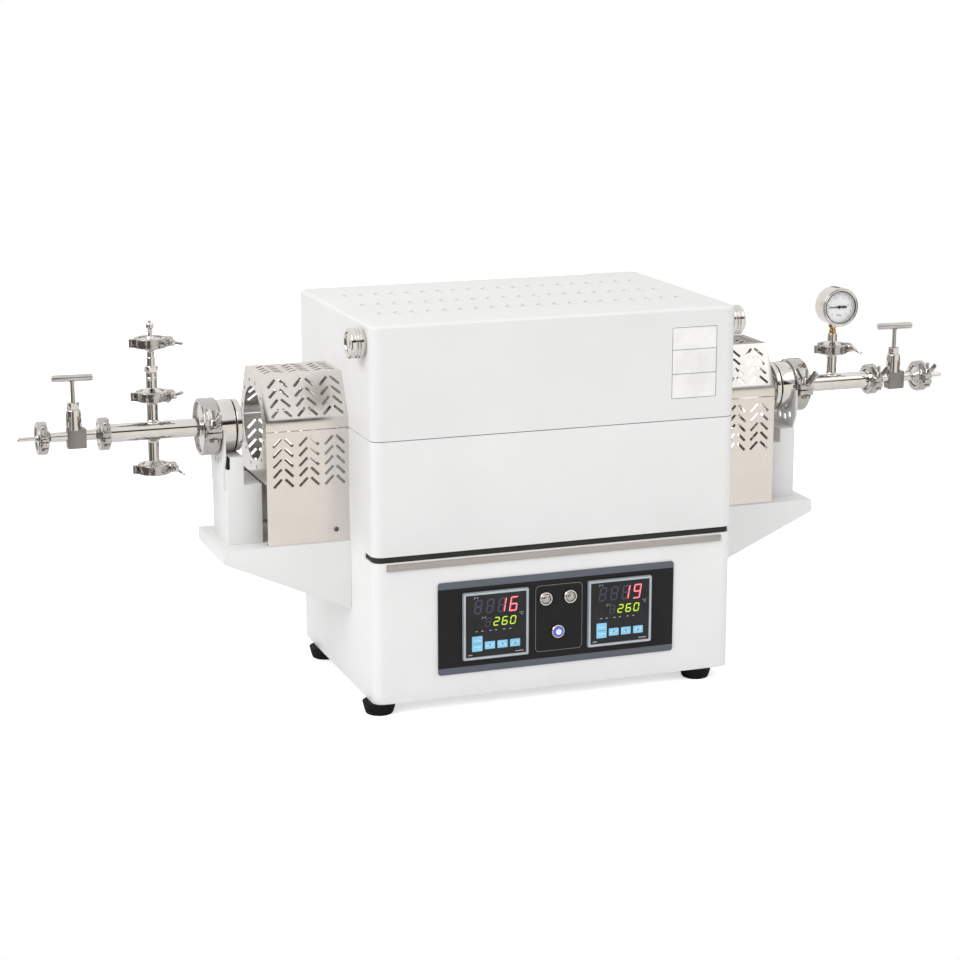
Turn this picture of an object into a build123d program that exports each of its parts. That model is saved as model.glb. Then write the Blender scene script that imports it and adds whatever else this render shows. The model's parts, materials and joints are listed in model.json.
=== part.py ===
"""Hinged tube furnace: control cabinet, split furnace body, perforated end guards and two gas lines.

Sizes are in millimetres. +X runs along the process tube towards the gas outlet, +Y to the back and +Z up.
The origin is on the bench, under the middle of the housing.
"""

import math
import os

from build123d import *

# Housing
body_width = 530.0
body_depth = 358.0
corner_radius = 15.0
top_edge_radius = 4.0
sheet = 1.5
foot_height = 17.0
base_height = 198.0
slot_height = 8.5
slot_return = 38.0
lower_height = 158.5
lid_height = 155.0
seam = 0.5

# Clearances
seat_gap = 0.3
running_gap = 0.05
port_gap = 1.0

# Furnace core
core_side_gap = 19.0
core_air_gap = 14.0
heated_length = 300.0
chamber_radius = 42.0
collar_radius = 38.0
collar_reach = 3.0
rod_radius = 3.0
rod_count = 6
thermocouple_radius = 3.0
thermocouple_reach = 6.0
thermocouple_spacing = 120.0
thermocouple_head_radius = 9.0
thermocouple_head_height = 15.0

# Process tube and end flanges
tube_radius = 25.0
tube_wall = 3.0
tube_end_x = 426.0
flange_radius = 36.0
flange_bore = 21.5
ring_start_x = 403.5
ring_length = 7.5
ring_groove = 1.5
flange_start_x = ring_start_x + ring_length + ring_groove
clamp_start_x = 434.5
joint_x = 446.0
cover_thickness = 9.0

# Perforated guards
guard_reach = 116.0
guard_half_width = 70.0
guard_top_half_width = 39.0
guard_sheet = 1.2
guard_lip = 13.0
guard_rise = 73.5
guard_flange = 10.0
guard_plate_drop = 73.0
guard_hole_radius = 51.5
guard_ring_radius = 60.5
guard_ring_hole = 2.6
guard_ring_count = 12
slot_length = 16.0
slot_width = 3.8
slot_row_pitch = 14.0
slot_pair_pitch = 36.3
slot_arm_offset = 8.1
slot_middle_reach = 56.2
slot_pairs = 3
front_slot_rows = 5
hood_slot_rows = 4
front_slot_drop = 43.5

# Side shelves, posts and cradles
shelf_top = 223.0
shelf_reach = 180.0
shelf_half_width = 75.0
shelf_sheet = 2.0
shelf_end_height = 18.0
shelf_root_height = 98.0
post_half_width = 43.0
post_sheet = 2.0
post_inner_x = 406.0
post_outer_x = 430.0
post_low_top = 306.0
post_drop_left = flange_radius + seat_gap
post_drop_right = 56.0
post_notch_width = 5.0
post_notch_height = 17.0
post_notch_depth = 16.0
saddle_thickness = 3.0
saddle_foot_z = 300.0
saddle_shoulder_drop = 38.0
saddle_waist_drop = 56.0
saddle_waist_inset = 9.0
saddle_hole_radius = 5.0
saddle_hole_ring = 46.0
saddle_hole_step = 20.0

# Gas lines
pipe_radius = 12.7
pipe_bore = 11.2
port_radius = 7.5
port_bore = 6.0
rim_radius = 17.5
rim_edge_radius = 15.2
rim_land = 1.5
rim_half = 5.0
cross_end_x = -588.0
cross_port_x = -520.0
upper_port_rise = 48.0
relief_height = 73.0
lower_port_drop = 52.5
tee_end_x = 576.0
tee_port_x = 510.0
gauge_port_rise = 51.0
inlet_stem_x = -627.0
inlet_end_x = -671.0
outlet_stem_x = 615.0
outlet_end_x = 659.0
inlet_tip_x = -703.0
outlet_tip_x = 697.0
stub_radius = 3.175
stub_bore = 2.1
stub_hub_radius = 6.0
stub_hub_length = 7.0
valve_width = 25.0
valve_offset = 2.5
valve_drop = 3.0
valve_depth = 18.0
valve_height = 26.5
bonnet_radius = 10.5
bonnet_tip_radius = 8.8
bonnet_height = 27.0
packing_nut_radius = 8.6
packing_nut_height = 8.5
stem_radius = 2.9
stem_top_rise = 79.0
stem_depth = 20.0
handle_length = 54.5
handle_radius = 4.7
handle_turn = -5.0
handle_socket = 2.4

# Swing clamps: rim sizes, then the band, its lugs and its screw
clamp_half_width = 6.75
clamp_outer_radius = 22.5
flange_clamp_half_width = 11.5
flange_clamp_outer = 39.5
flange_rim_land = 2.0
flange_rim_half = 8.0
flange_rim_edge = 33.6
clamp_parting = 0.6
clamp_lug_length = 8.4
clamp_lug_height = 8.5
clamp_screw_radius = 2.2
clamp_pin_radius = 1.6
clamp_knuckle_radius = 3.3
clamp_root = 3.0
wing_hub_radius = 4.2
wing_hub_height = 6.0
wing_span = 12.0
wing_rise = 9.0
wing_thickness = 2.2

# Pressure gauge
gauge_radius = 29.0
gauge_wall = 1.4
gauge_front_y = -24.0
gauge_depth = 28.0
gauge_rise = 116.0
gauge_lip = 3.5
gauge_dial_depth = 6.0
gauge_dial_thickness = 1.0
gauge_glass_thickness = 2.0
gauge_boss_radius = 6.5
neck_radius = 4.9
neck_height = 9.0
adapter_radius = 7.0
needle_length = 18.0
needle_tail = 12.0
needle_thickness = 0.6
needle_pin_radius = 1.0

# Control panel
panel_width = 349.0
panel_height = 131.0
panel_z = 115.5
panel_thickness = 2.0
panel_corner = 4.0
controller_size = 96.0
controller_body = 90.0
controller_depth = 80.0
controller_bezel = 4.5
controller_x = 92.0
controller_z = 116.5
controller_corner = 2.0
button_x = 18.2
button_z = 145.0
power_z = 96.5
bushing_radius = 10.0
bushing_face = 3.5
bushing_barrel = 8.0
bushing_length = 26.0
button_radius = 7.0
button_length = 14.0
button_proud = 1.5
button_travel = 2.0
trim_end_margin = 18.5
trim_height = 9.6
trim_thickness = 2.4
trim_drop = 1.6

# Lid hinges and grips
hinge_x = 180.0
hinge_width = 60.0
hinge_leaf_height = 38.0
hinge_leaf_thickness = 2.0
hinge_barrel_radius = 4.5
hinge_pin_radius = 2.0
hinge_offset = 5.0
hinge_gap = 0.4
knob_front_margin = 37.0
knob_drop = 26.0
knob_radius = 20.5
knob_seat_radius = 17.5
knob_seat_height = 3.0
knob_length = 18.0
knob_groove = 1.4
knob_dish_radius = 15.0
knob_dish_depth = 1.6

# Lid vents, rear cover, cabinet floor and feet
vent_rows = (-77.0, 2.0, 88.0)
vent_end_margin = 45.0
vent_count = 20
vent_slot_length = 12.0
vent_slot_width = 2.4
vent_arm_offset = 6.0
rear_cover_width = 300.0
rear_cover_height = 120.0
rear_cover_z = 105.0
rear_window_margin = 18.0
louvre_count = 6
louvre_pitch = 13.0
louvre_length = 200.0
louvre_height = 4.0
floor_thickness = 2.0
foot_left_margin = 13.0
foot_right_margin = 43.0
foot_front_margin = 22.0
foot_back_margin = 69.0
foot_top_radius = 23.5
foot_bottom_radius = 19.0
foot_recess_radius = 6.0
foot_recess_depth = 6.0
foot_screw_radius = 3.0
spacer_inset = 2.5
gland_end_margin = 60.0
gland_z = 62.0
gland_thread_radius = 8.0
gland_bore_radius = 5.0
gland_nut_radius = 12.0
gland_nut_height = 6.0
gland_dome_height = 9.0
gland_thread_length = 9.0
gland_lock_height = 4.0
relay_width = 45.0
relay_depth = 62.0
relay_height = 24.0
relay_spacing = 70.0
sink_width = 160.0
sink_depth = 90.0
sink_base = 6.0
sink_fin_height = 22.0
sink_fin_thickness = 2.0
sink_fin_count = 8
screw_radius = 3.6
screw_height = 2.0

# Levels and faces worked out from the sizes above
front_y = -body_depth / 2
back_y = body_depth / 2
side_x = body_width / 2
core_depth = body_depth - 2 * core_side_gap
foot_places = [
    (-side_x + foot_left_margin, front_y + foot_front_margin),
    (side_x - foot_right_margin, front_y + foot_front_margin),
    (-side_x + foot_left_margin, back_y - foot_back_margin),
    (side_x - foot_right_margin, back_y - foot_back_margin),
]
gland_x = side_x - gland_end_margin
vent_row_length = body_width - 2 * vent_end_margin
trim_length = body_width - 2 * trim_end_margin
base_top = foot_height + base_height
shell_z = base_top + slot_height
split_z = shell_z + lower_height
top_z = split_z + lid_height
knob_y = front_y + knob_front_margin
knob_z = top_z - knob_drop
guard_end_x = side_x + guard_reach
hinge_y = back_y + hinge_offset
front_plane = Plane(origin=(0, front_y, 0), x_dir=(1, 0, 0), z_dir=(0, -1, 0))
rear_plane = Plane(origin=(0, back_y, 0), x_dir=(-1, 0, 0), z_dir=(0, 1, 0))
tube_plane = Plane(origin=(0, 0, split_z), x_dir=(1, 0, 0), z_dir=(0, -1, 0))
up_from_bottom = (Align.CENTER, Align.CENTER, Align.MIN)
down_from_top = (Align.CENTER, Align.CENTER, Align.MAX)
os.makedirs("parts", exist_ok=True)


def save(builder, name):
    """Label a finished piece and write it as its own STEP file."""
    builder.part.label = name
    export_step(builder.part, f"parts/{name}.step")


def turned(plane, outline):
    """Solid of revolution about the plane's x axis, from (station, radius) points."""
    with BuildPart(mode=Mode.PRIVATE) as piece:
        with BuildSketch(plane):
            with BuildLine():
                Polyline(*outline, close=True)
            make_face()
        revolve(axis=Axis(plane.origin, plane.x_dir))
    return piece.part


def standing(x, y, z):
    """Plane whose x axis points up, for pieces turned about a vertical axis."""
    return Plane(origin=(x, y, z), x_dir=(0, 0, 1), z_dir=(0, -1, 0))


def rim(face, away, hub_radius):
    """Outline of a clamped rim: its face at one station, its hub on the side that away points to."""
    return [
        (face, rim_radius),
        (face + away * rim_land, rim_radius),
        (face + away * rim_half, rim_edge_radius),
        (face + away * (rim_half + rim_edge_radius - hub_radius) / 1.5 + away, hub_radius),
    ]


def rounded_block(level, height, inset=0.0):
    """Block with the housing's plan, drawn in from its outside by the inset."""
    with BuildPart(mode=Mode.PRIVATE) as block:
        with BuildSketch(Plane.XY.offset(level)):
            RectangleRounded(body_width - 2 * inset, body_depth - 2 * inset, corner_radius - inset)
        extrude(amount=height)
    return block.part


def chevrons(rows, pairs, width, length, pitch_x, pitch_y, offset):
    """Rows of slanted slots that lean together in pairs, in the current sketch."""
    with GridLocations(pitch_x, pitch_y, pairs, rows):
        for side in (-1, 1):
            with Locations((side * offset, 0)):
                Rectangle(length, width, rotation=-45 * side)


# Control cabinet: a folded shell with openings for the panel's instruments and the rear window
controller_places = [(-controller_x, controller_z), (controller_x, controller_z)]
button_places = [(-button_x, button_z), (button_x, button_z), (0, power_z)]
cutout_size = controller_body + 2 * seat_gap
bushing_hole = bushing_barrel + seat_gap


with BuildPart() as panel_openings:
    with BuildSketch(front_plane):
        with Locations(*controller_places):
            Rectangle(cutout_size, cutout_size)
        with Locations(*button_places):
            Circle(bushing_hole)
    extrude(amount=2 * panel_thickness, both=True)


with BuildPart() as base_housing:
    add(rounded_block(foot_height, base_height))
    add(rounded_block(foot_height, base_height - sheet, sheet), mode=Mode.SUBTRACT)
    add(panel_openings.part, mode=Mode.SUBTRACT)
    with BuildSketch(rear_plane):
        with Locations((0, rear_cover_z)):
            Rectangle(rear_cover_width - 2 * rear_window_margin, rear_cover_height - 2 * rear_window_margin)
    extrude(amount=-2 * sheet, mode=Mode.SUBTRACT)
    with Locations((gland_x, back_y, gland_z)):
        Cylinder(gland_thread_radius + seat_gap, 4 * sheet, rotation=(90, 0, 0), mode=Mode.SUBTRACT)
    with Locations((0, 0, base_top)):
        with GridLocations(thermocouple_spacing, 1, 2, 1):
            Cylinder(thermocouple_radius + seat_gap, 4 * sheet, mode=Mode.SUBTRACT)
save(base_housing, "base_housing")

with BuildPart() as bottom_plate:
    add(rounded_block(foot_height, floor_thickness, sheet + seat_gap))
    with Locations(*foot_places):
        Cylinder(
            foot_screw_radius, foot_height + 2 * floor_thickness, align=up_from_bottom, mode=Mode.SUBTRACT
        )
save(bottom_plate, "bottom_plate")

with BuildPart() as rubber_feet:
    with Locations(*foot_places):
        Cone(foot_bottom_radius, foot_top_radius, foot_height, align=up_from_bottom)
    chamfer(rubber_feet.edges().group_by(Axis.Z)[0], length=1.5)
    with Locations(*foot_places):
        Cylinder(foot_recess_radius, foot_recess_depth, align=up_from_bottom, mode=Mode.SUBTRACT)
save(rubber_feet, "rubber_feet")

with BuildPart() as rear_cover:
    with BuildSketch(rear_plane):
        with Locations((0, rear_cover_z)):
            RectangleRounded(rear_cover_width, rear_cover_height, panel_corner)
    extrude(amount=sheet)
    with BuildSketch(rear_plane):
        with Locations((0, rear_cover_z)):
            with GridLocations(1, louvre_pitch, 1, louvre_count):
                Rectangle(louvre_length, louvre_height)
    extrude(amount=2 * sheet, mode=Mode.SUBTRACT)
save(rear_cover, "rear_cover")

gland_dome = turned(
    Plane(origin=(gland_x, back_y, gland_z), x_dir=(0, 1, 0), z_dir=(1, 0, 0)),
    [
        (-sheet - gland_thread_length, 0),
        (-sheet - gland_thread_length, gland_thread_radius),
        (gland_nut_height, gland_thread_radius),
        (gland_nut_height, gland_nut_radius - 1),
        (gland_nut_height + gland_dome_height * 0.6, gland_nut_radius - 1),
        (gland_nut_height + gland_dome_height, gland_nut_radius - 4),
        (gland_nut_height + gland_dome_height, 0),
    ],
)
with BuildPart() as cable_gland:
    add(gland_dome)
    with BuildSketch(rear_plane):
        with Locations((-gland_x, gland_z)):
            RegularPolygon(gland_nut_radius, 6)
    extrude(amount=gland_nut_height)
    with BuildSketch(rear_plane.offset(-sheet)):
        with Locations((-gland_x, gland_z)):
            RegularPolygon(gland_nut_radius, 6)
    extrude(amount=-gland_lock_height)
    with Locations((gland_x, back_y, gland_z)):
        Cylinder(
            gland_bore_radius, 6 * gland_thread_length, rotation=(90, 0, 0), mode=Mode.SUBTRACT
        )
save(cable_gland, "cable_gland")

with BuildPart() as heat_sink:
    with Locations((0, 0, foot_height + floor_thickness)):
        Box(sink_width, sink_depth, sink_base, align=up_from_bottom)
        with GridLocations((sink_width - sink_fin_thickness) / (sink_fin_count - 1), 1, sink_fin_count, 1):
            Box(sink_fin_thickness, sink_depth, sink_base + sink_fin_height, align=up_from_bottom)
    with Locations((0, 0, foot_height + floor_thickness + sink_base)):
        with GridLocations(relay_spacing, 1, 2, 1):
            Box(relay_width, 2 * sink_depth, sink_fin_height + 1, align=up_from_bottom, mode=Mode.SUBTRACT)
save(heat_sink, "heat_sink")

with BuildPart() as power_relays:
    with Locations((0, 0, foot_height + floor_thickness + sink_base)):
        with GridLocations(relay_spacing, 1, 2, 1):
            Box(relay_width - 2 * seat_gap, relay_depth, relay_height, align=up_from_bottom)
save(power_relays, "power_relays")

# Control panel, its two controllers and its three push buttons
panel_y = front_y - panel_thickness
panel_face = Plane(origin=(0, panel_y, 0), x_dir=(1, 0, 0), z_dir=(0, -1, 0))

with BuildPart() as control_panel:
    with BuildSketch(front_plane):
        with Locations((0, panel_z)):
            RectangleRounded(panel_width, panel_height, panel_corner)
    extrude(amount=panel_thickness)
    add(panel_openings.part, mode=Mode.SUBTRACT)
save(control_panel, "control_panel")

with BuildPart() as temperature_controllers:
    with BuildSketch(panel_face):
        with Locations(*controller_places):
            RectangleRounded(controller_size, controller_size, controller_corner)
    extrude(amount=controller_bezel)
    with BuildSketch(panel_face):
        with Locations(*controller_places):
            Rectangle(controller_body, controller_body)
    extrude(amount=-controller_depth)
    with BuildSketch(panel_face.offset(controller_bezel)):
        with Locations(*controller_places):
            RectangleRounded(controller_size - 7, controller_size - 7, controller_corner)
    extrude(amount=-1.2, mode=Mode.SUBTRACT)
save(temperature_controllers, "temperature_controllers")

bushing_bore = button_radius + running_gap
bushing_depth = button_length - button_proud + button_travel + seat_gap

with BuildPart() as button_bushings:
    with BuildSketch(panel_face):
        with Locations(*button_places):
            Circle(bushing_radius)
    extrude(amount=bushing_face)
    chamfer(button_bushings.edges().group_by(Axis.Y)[0], length=1.0)
    with BuildSketch(panel_face):
        with Locations(*button_places):
            Circle(bushing_barrel)
    extrude(amount=-bushing_length)
    with BuildSketch(panel_face.offset(bushing_face)):
        with Locations(*button_places):
            Circle(bushing_bore)
    extrude(amount=-bushing_depth, mode=Mode.SUBTRACT)
save(button_bushings, "button_bushings")

for button_name, (button_place_x, button_place_z) in zip(
    ("start_button", "stop_button", "power_button"), button_places
):
    with BuildPart() as button:
        with BuildSketch(panel_face.offset(bushing_face + button_proud)):
            with Locations((button_place_x, button_place_z)):
                Circle(button_radius)
        extrude(amount=-button_length)
        chamfer(button.edges().group_by(Axis.Y)[0], length=0.6)
    save(button, button_name)

with BuildPart() as trim_strip:
    with Locations((0, front_y - trim_thickness / 2, base_top - trim_drop)):
        Box(trim_length, trim_thickness, trim_height, align=down_from_top)
    chamfer(trim_strip.edges().filter_by(Axis.X).group_by(Axis.Y)[0], length=0.6)
save(trim_strip, "trim_strip")

# Heat-proof board that carries the furnace on the cabinet and leaves the air slot open in front
with BuildPart() as spacer_board:
    add(rounded_block(base_top, slot_height, spacer_inset))
    with Locations((0, 0, base_top)):
        with GridLocations(thermocouple_spacing, 1, 2, 1):
            Cylinder(thermocouple_radius + seat_gap, 4 * slot_height, mode=Mode.SUBTRACT)
save(spacer_board, "spacer_board")

# Lower furnace shell: a tray with a skirt that closes the air slot behind the front corners
collar_hole = collar_radius + seat_gap
floor_z = shell_z + sheet

with BuildPart() as lower_shell:
    add(rounded_block(base_top, slot_height + lower_height - seam))
    add(rounded_block(floor_z, lower_height, sheet), mode=Mode.SUBTRACT)
    add(rounded_block(base_top, slot_height, sheet), mode=Mode.SUBTRACT)
    with Locations((0, front_y, base_top)):
        Box(2 * body_width, 2 * slot_return, slot_height, align=up_from_bottom, mode=Mode.SUBTRACT)
    with Locations((0, 0, split_z)):
        Cylinder(collar_hole, 2 * body_width, rotation=(0, 90, 0), mode=Mode.SUBTRACT)
    with Locations((0, 0, shell_z)):
        with GridLocations(thermocouple_spacing, 1, 2, 1):
            Cylinder(thermocouple_radius + seat_gap, 4 * sheet, mode=Mode.SUBTRACT)
save(lower_shell, "lower_shell")

# Lid shell with its three double rows of vents
with BuildPart() as lid_shell:
    add(rounded_block(split_z + seam, lid_height - seam))
    fillet(lid_shell.edges().group_by(Axis.Z)[-1], radius=top_edge_radius)
    add(rounded_block(split_z, lid_height - sheet, sheet + top_edge_radius / 4), mode=Mode.SUBTRACT)
    with Locations((0, 0, split_z)):
        Cylinder(collar_hole, 2 * body_width, rotation=(0, 90, 0), mode=Mode.SUBTRACT)
    for row_y in vent_rows:
        with BuildSketch(Plane.XY.offset(top_z)):
            with Locations((0, row_y)):
                with GridLocations(vent_row_length / (vent_count - 1), 1, vent_count, 1):
                    for side in (-1, 1):
                        with Locations((0, side * vent_arm_offset)):
                            Rectangle(vent_slot_length, vent_slot_width, rotation=45 * side)
        extrude(amount=-2 * sheet, mode=Mode.SUBTRACT)
save(lid_shell, "lid_shell")

# Ceramic fibre core: one block with a heated chamber, parted at the tube's axis
lid_wall = sheet + top_edge_radius / 4
core_length = body_width - 2 * lid_wall
rod_angles = [(turn + 0.5) * 180 / rod_count for turn in range(rod_count)]
rod_length = heated_length

with BuildPart() as core:
    with Locations((0, 0, floor_z)):
        Box(core_length, core_depth, top_z - core_air_gap - floor_z, align=up_from_bottom)
    with Locations((0, 0, split_z)):
        Cylinder(collar_radius, body_width + 2 * collar_reach, rotation=(0, 90, 0))
        Cylinder(tube_radius + port_gap, 2 * body_width, rotation=(0, 90, 0), mode=Mode.SUBTRACT)
        Cylinder(chamber_radius, heated_length, rotation=(0, 90, 0), mode=Mode.SUBTRACT)
    for angle in rod_angles + [turn + 180 for turn in rod_angles]:
        rod_y = chamber_radius * math.cos(math.radians(angle))
        rod_z = split_z + chamber_radius * math.sin(math.radians(angle))
        with Locations((0, rod_y, rod_z)):
            Cylinder(
                rod_radius + seat_gap, rod_length + 2 * seat_gap, rotation=(0, 90, 0), mode=Mode.SUBTRACT
            )
    with Locations((0, 0, floor_z)):
        with GridLocations(thermocouple_spacing, 1, 2, 1):
            Cylinder(
                thermocouple_radius + seat_gap,
                split_z - chamber_radius / 2 - floor_z,
                align=up_from_bottom,
                mode=Mode.SUBTRACT,
            )

with BuildPart() as lower_insulation:
    add(core.part)
    split(bisect_by=Plane.XY.offset(split_z), keep=Keep.BOTTOM)
save(lower_insulation, "lower_insulation")

with BuildPart() as lid_insulation:
    add(core.part)
    split(bisect_by=Plane.XY.offset(split_z), keep=Keep.TOP)
save(lid_insulation, "lid_insulation")


def heating_rods(side):
    """Rods that lie half sunk in the chamber's wall, above or below the parting plane."""
    for angle in rod_angles:
        rod_y = chamber_radius * math.cos(math.radians(angle))
        rod_z = split_z + side * chamber_radius * math.sin(math.radians(angle))
        with Locations((0, rod_y, rod_z)):
            Cylinder(rod_radius, rod_length, rotation=(0, 90, 0))


with BuildPart() as lower_heater:
    heating_rods(-1)
save(lower_heater, "lower_heater")

with BuildPart() as lid_heater:
    heating_rods(1)
save(lid_heater, "lid_heater")

thermocouple_tip = split_z - chamber_radius + thermocouple_reach
with BuildPart() as thermocouples:
    with Locations((0, 0, base_top - sheet)):
        with GridLocations(thermocouple_spacing, 1, 2, 1):
            Cylinder(thermocouple_head_radius, thermocouple_head_height, align=down_from_top)
            Cylinder(thermocouple_radius, thermocouple_tip - base_top + sheet, align=up_from_bottom)
save(thermocouples, "thermocouples")

# Hinges: the fixed leaf has the middle knuckle, the lid's leaf has the two outer ones
knuckle_length = (hinge_width - 2 * hinge_gap) / 3
outer_knuckle = knuckle_length + hinge_gap
leaf_clearance = hinge_barrel_radius + seat_gap


def hinge_leaf(side, knuckle_offsets):
    """Leaf above or below the hinge axis, with a knuckle at each offset from its middle."""
    leaf_z = split_z + side * (leaf_clearance + hinge_leaf_height / 2)
    for middle in (-hinge_x, hinge_x):
        with Locations((middle, back_y + hinge_leaf_thickness / 2, leaf_z)):
            Box(hinge_width, hinge_leaf_thickness, hinge_leaf_height)
        for offset_x in knuckle_offsets:
            with Locations((middle + offset_x, hinge_y, split_z)):
                Cylinder(hinge_barrel_radius, knuckle_length, rotation=(0, 90, 0))
            web_top = split_z + side * leaf_clearance / 2
            with Locations((middle + offset_x, back_y + hinge_leaf_thickness / 2 + seam / 2, web_top)):
                Box(knuckle_length, hinge_leaf_thickness - seam, leaf_clearance)
            with Locations((middle + offset_x, hinge_y, split_z)):
                Cylinder(
                    hinge_pin_radius + running_gap, 2 * hinge_width, rotation=(0, 90, 0), mode=Mode.SUBTRACT
                )


with BuildPart() as base_hinge_leaves:
    hinge_leaf(-1, [0])
save(base_hinge_leaves, "base_hinge_leaves")

with BuildPart() as lid_hinge_leaves:
    hinge_leaf(1, [-outer_knuckle, outer_knuckle])
save(lid_hinge_leaves, "lid_hinge_leaves")

with BuildPart() as hinge_pins:
    with Locations((0, hinge_y, split_z)):
        with GridLocations(2 * hinge_x, 1, 2, 1):
            Cylinder(hinge_pin_radius, hinge_width, rotation=(0, 90, 0))
save(hinge_pins, "hinge_pins")

# Lid grips: turned knobs on the end walls
knob_plane = Plane(origin=(side_x, knob_y, knob_z), x_dir=(1, 0, 0), z_dir=(0, -1, 0))
knob_end = knob_seat_height + knob_length
knob_outline = [(0, 0), (0, knob_seat_radius), (knob_seat_height, knob_seat_radius)]
knob_outline += [(knob_seat_height, knob_radius)]
for groove_share in (0.32, 0.55):
    groove_at = knob_seat_height + groove_share * knob_length
    knob_outline += [
        (groove_at - knob_groove / 2, knob_radius),
        (groove_at, knob_radius - knob_groove),
        (groove_at + knob_groove / 2, knob_radius),
    ]
knob_outline += [
    (knob_end - knob_groove, knob_radius),
    (knob_end, knob_radius - knob_groove),
    (knob_end, knob_dish_radius),
    (knob_end - knob_dish_depth, knob_dish_radius - knob_dish_depth),
    (knob_end - knob_dish_depth, 0),
]
knob_solid = turned(knob_plane, knob_outline)
with BuildPart() as lid_knobs:
    add(knob_solid)
    mirror(about=Plane.YZ)
save(lid_knobs, "lid_knobs")

# Perforated guards: stainless sheet round the hot ends of the tube, parted with the lid
guard_middle_x = side_x + guard_reach / 2
slot_middle_x = side_x + slot_middle_reach
guard_base_top = split_z - seam
hood_z = split_z + seam
lip_top = split_z + guard_lip
hood_top = split_z + guard_rise


# Tube hole and its ring of small holes, through the guards' outer end plates
with BuildPart() as end_plate_holes:
    with BuildSketch(Plane.YZ.offset(guard_end_x)):
        with Locations((0, split_z)):
            Circle(guard_hole_radius)
            with PolarLocations(guard_ring_radius, guard_ring_count, 180 / guard_ring_count):
                Circle(guard_ring_hole)
    extrude(amount=2 * guard_sheet, both=True)


with BuildPart() as lower_guard_right:
    guard_wall_height = guard_base_top - shelf_top
    with Locations((guard_middle_x, 0, shelf_top)):
        Box(guard_reach, 2 * guard_half_width, guard_wall_height, align=up_from_bottom)
    with Locations((guard_middle_x - guard_sheet, 0, shelf_top + guard_sheet)):
        Box(
            guard_reach,
            2 * (guard_half_width - guard_sheet),
            guard_wall_height,
            align=up_from_bottom,
            mode=Mode.SUBTRACT,
        )
    with Locations((guard_middle_x, 0, shelf_top)):
        Box(
            2 * guard_reach,
            2 * (guard_half_width - guard_flange),
            2 * guard_sheet,
            mode=Mode.SUBTRACT,
        )
    with Locations((guard_end_x, 0, shelf_top + guard_sheet)):
        Box(
            4 * guard_sheet,
            2 * (guard_half_width - guard_sheet),
            split_z - guard_plate_drop - shelf_top - guard_sheet,
            align=up_from_bottom,
            mode=Mode.SUBTRACT,
        )
    add(end_plate_holes.part, mode=Mode.SUBTRACT)
    slot_middle = (slot_middle_x, -guard_half_width, split_z - front_slot_drop)
    front_slots = Plane(origin=slot_middle, x_dir=(1, 0, 0), z_dir=(0, -1, 0))
    with BuildSketch(front_slots):
        chevrons(
            front_slot_rows,
            slot_pairs,
            slot_width,
            slot_length,
            slot_pair_pitch,
            slot_row_pitch,
            slot_arm_offset,
        )
    extrude(amount=-2 * guard_half_width, mode=Mode.SUBTRACT)
save(lower_guard_right, "lower_guard_right")

with BuildPart() as lower_guard_left:
    add(lower_guard_right.part.mirror(Plane.YZ))
save(lower_guard_left, "lower_guard_left")


def hood_block(start, length, inset):
    """Block with the hood's cross-section drawn in by the inset, carried down past the seam."""
    with BuildPart(mode=Mode.PRIVATE) as block:
        with BuildSketch(Plane.YZ.offset(start)):
            with BuildLine():
                Polyline(
                    (-guard_half_width, split_z - guard_lip - guard_flange),
                    (-guard_half_width, lip_top),
                    (-guard_top_half_width, hood_top),
                    (guard_top_half_width, hood_top),
                    (guard_half_width, lip_top),
                    (guard_half_width, split_z - guard_lip - guard_flange),
                    close=True,
                )
            make_face()
            if inset:
                offset(amount=-inset, kind=Kind.INTERSECTION, mode=Mode.REPLACE)
        extrude(amount=length)
    return block.part


slant_run = guard_half_width - guard_top_half_width
slant_rise = hood_top - lip_top
with BuildPart() as upper_guard_right:
    add(hood_block(side_x, guard_reach, 0))
    hood_start = side_x + guard_sheet
    add(hood_block(hood_start, guard_reach - 2 * guard_sheet, guard_sheet), mode=Mode.SUBTRACT)
    add(hood_block(side_x, 2 * guard_sheet, guard_flange), mode=Mode.SUBTRACT)
    split(bisect_by=Plane.XY.offset(hood_z), keep=Keep.TOP)
    add(end_plate_holes.part, mode=Mode.SUBTRACT)
    for side in (-1, 1):
        slant_plane = Plane(
            origin=(slot_middle_x, side * (guard_half_width - slant_run / 2), lip_top + slant_rise / 2),
            x_dir=(-side, 0, 0),
            z_dir=(0, side * slant_rise, slant_run),
        )
        with BuildSketch(slant_plane):
            chevrons(
                hood_slot_rows,
                slot_pairs,
                slot_width,
                slot_length,
                slot_pair_pitch,
                slot_row_pitch,
                slot_arm_offset,
            )
        extrude(amount=-3 * guard_sheet, mode=Mode.SUBTRACT)
    with BuildSketch(Plane(origin=(slot_middle_x, 0, hood_top), x_dir=(1, 0, 0), z_dir=(0, 0, 1))):
        chevrons(
            hood_slot_rows,
            slot_pairs,
            slot_width,
            slot_length,
            slot_pair_pitch,
            slot_row_pitch,
            slot_arm_offset,
        )
    extrude(amount=-3 * guard_sheet, mode=Mode.SUBTRACT)
save(upper_guard_right, "upper_guard_right")

with BuildPart() as upper_guard_left:
    add(upper_guard_right.part.mirror(Plane.YZ))
save(upper_guard_left, "upper_guard_left")

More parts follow.
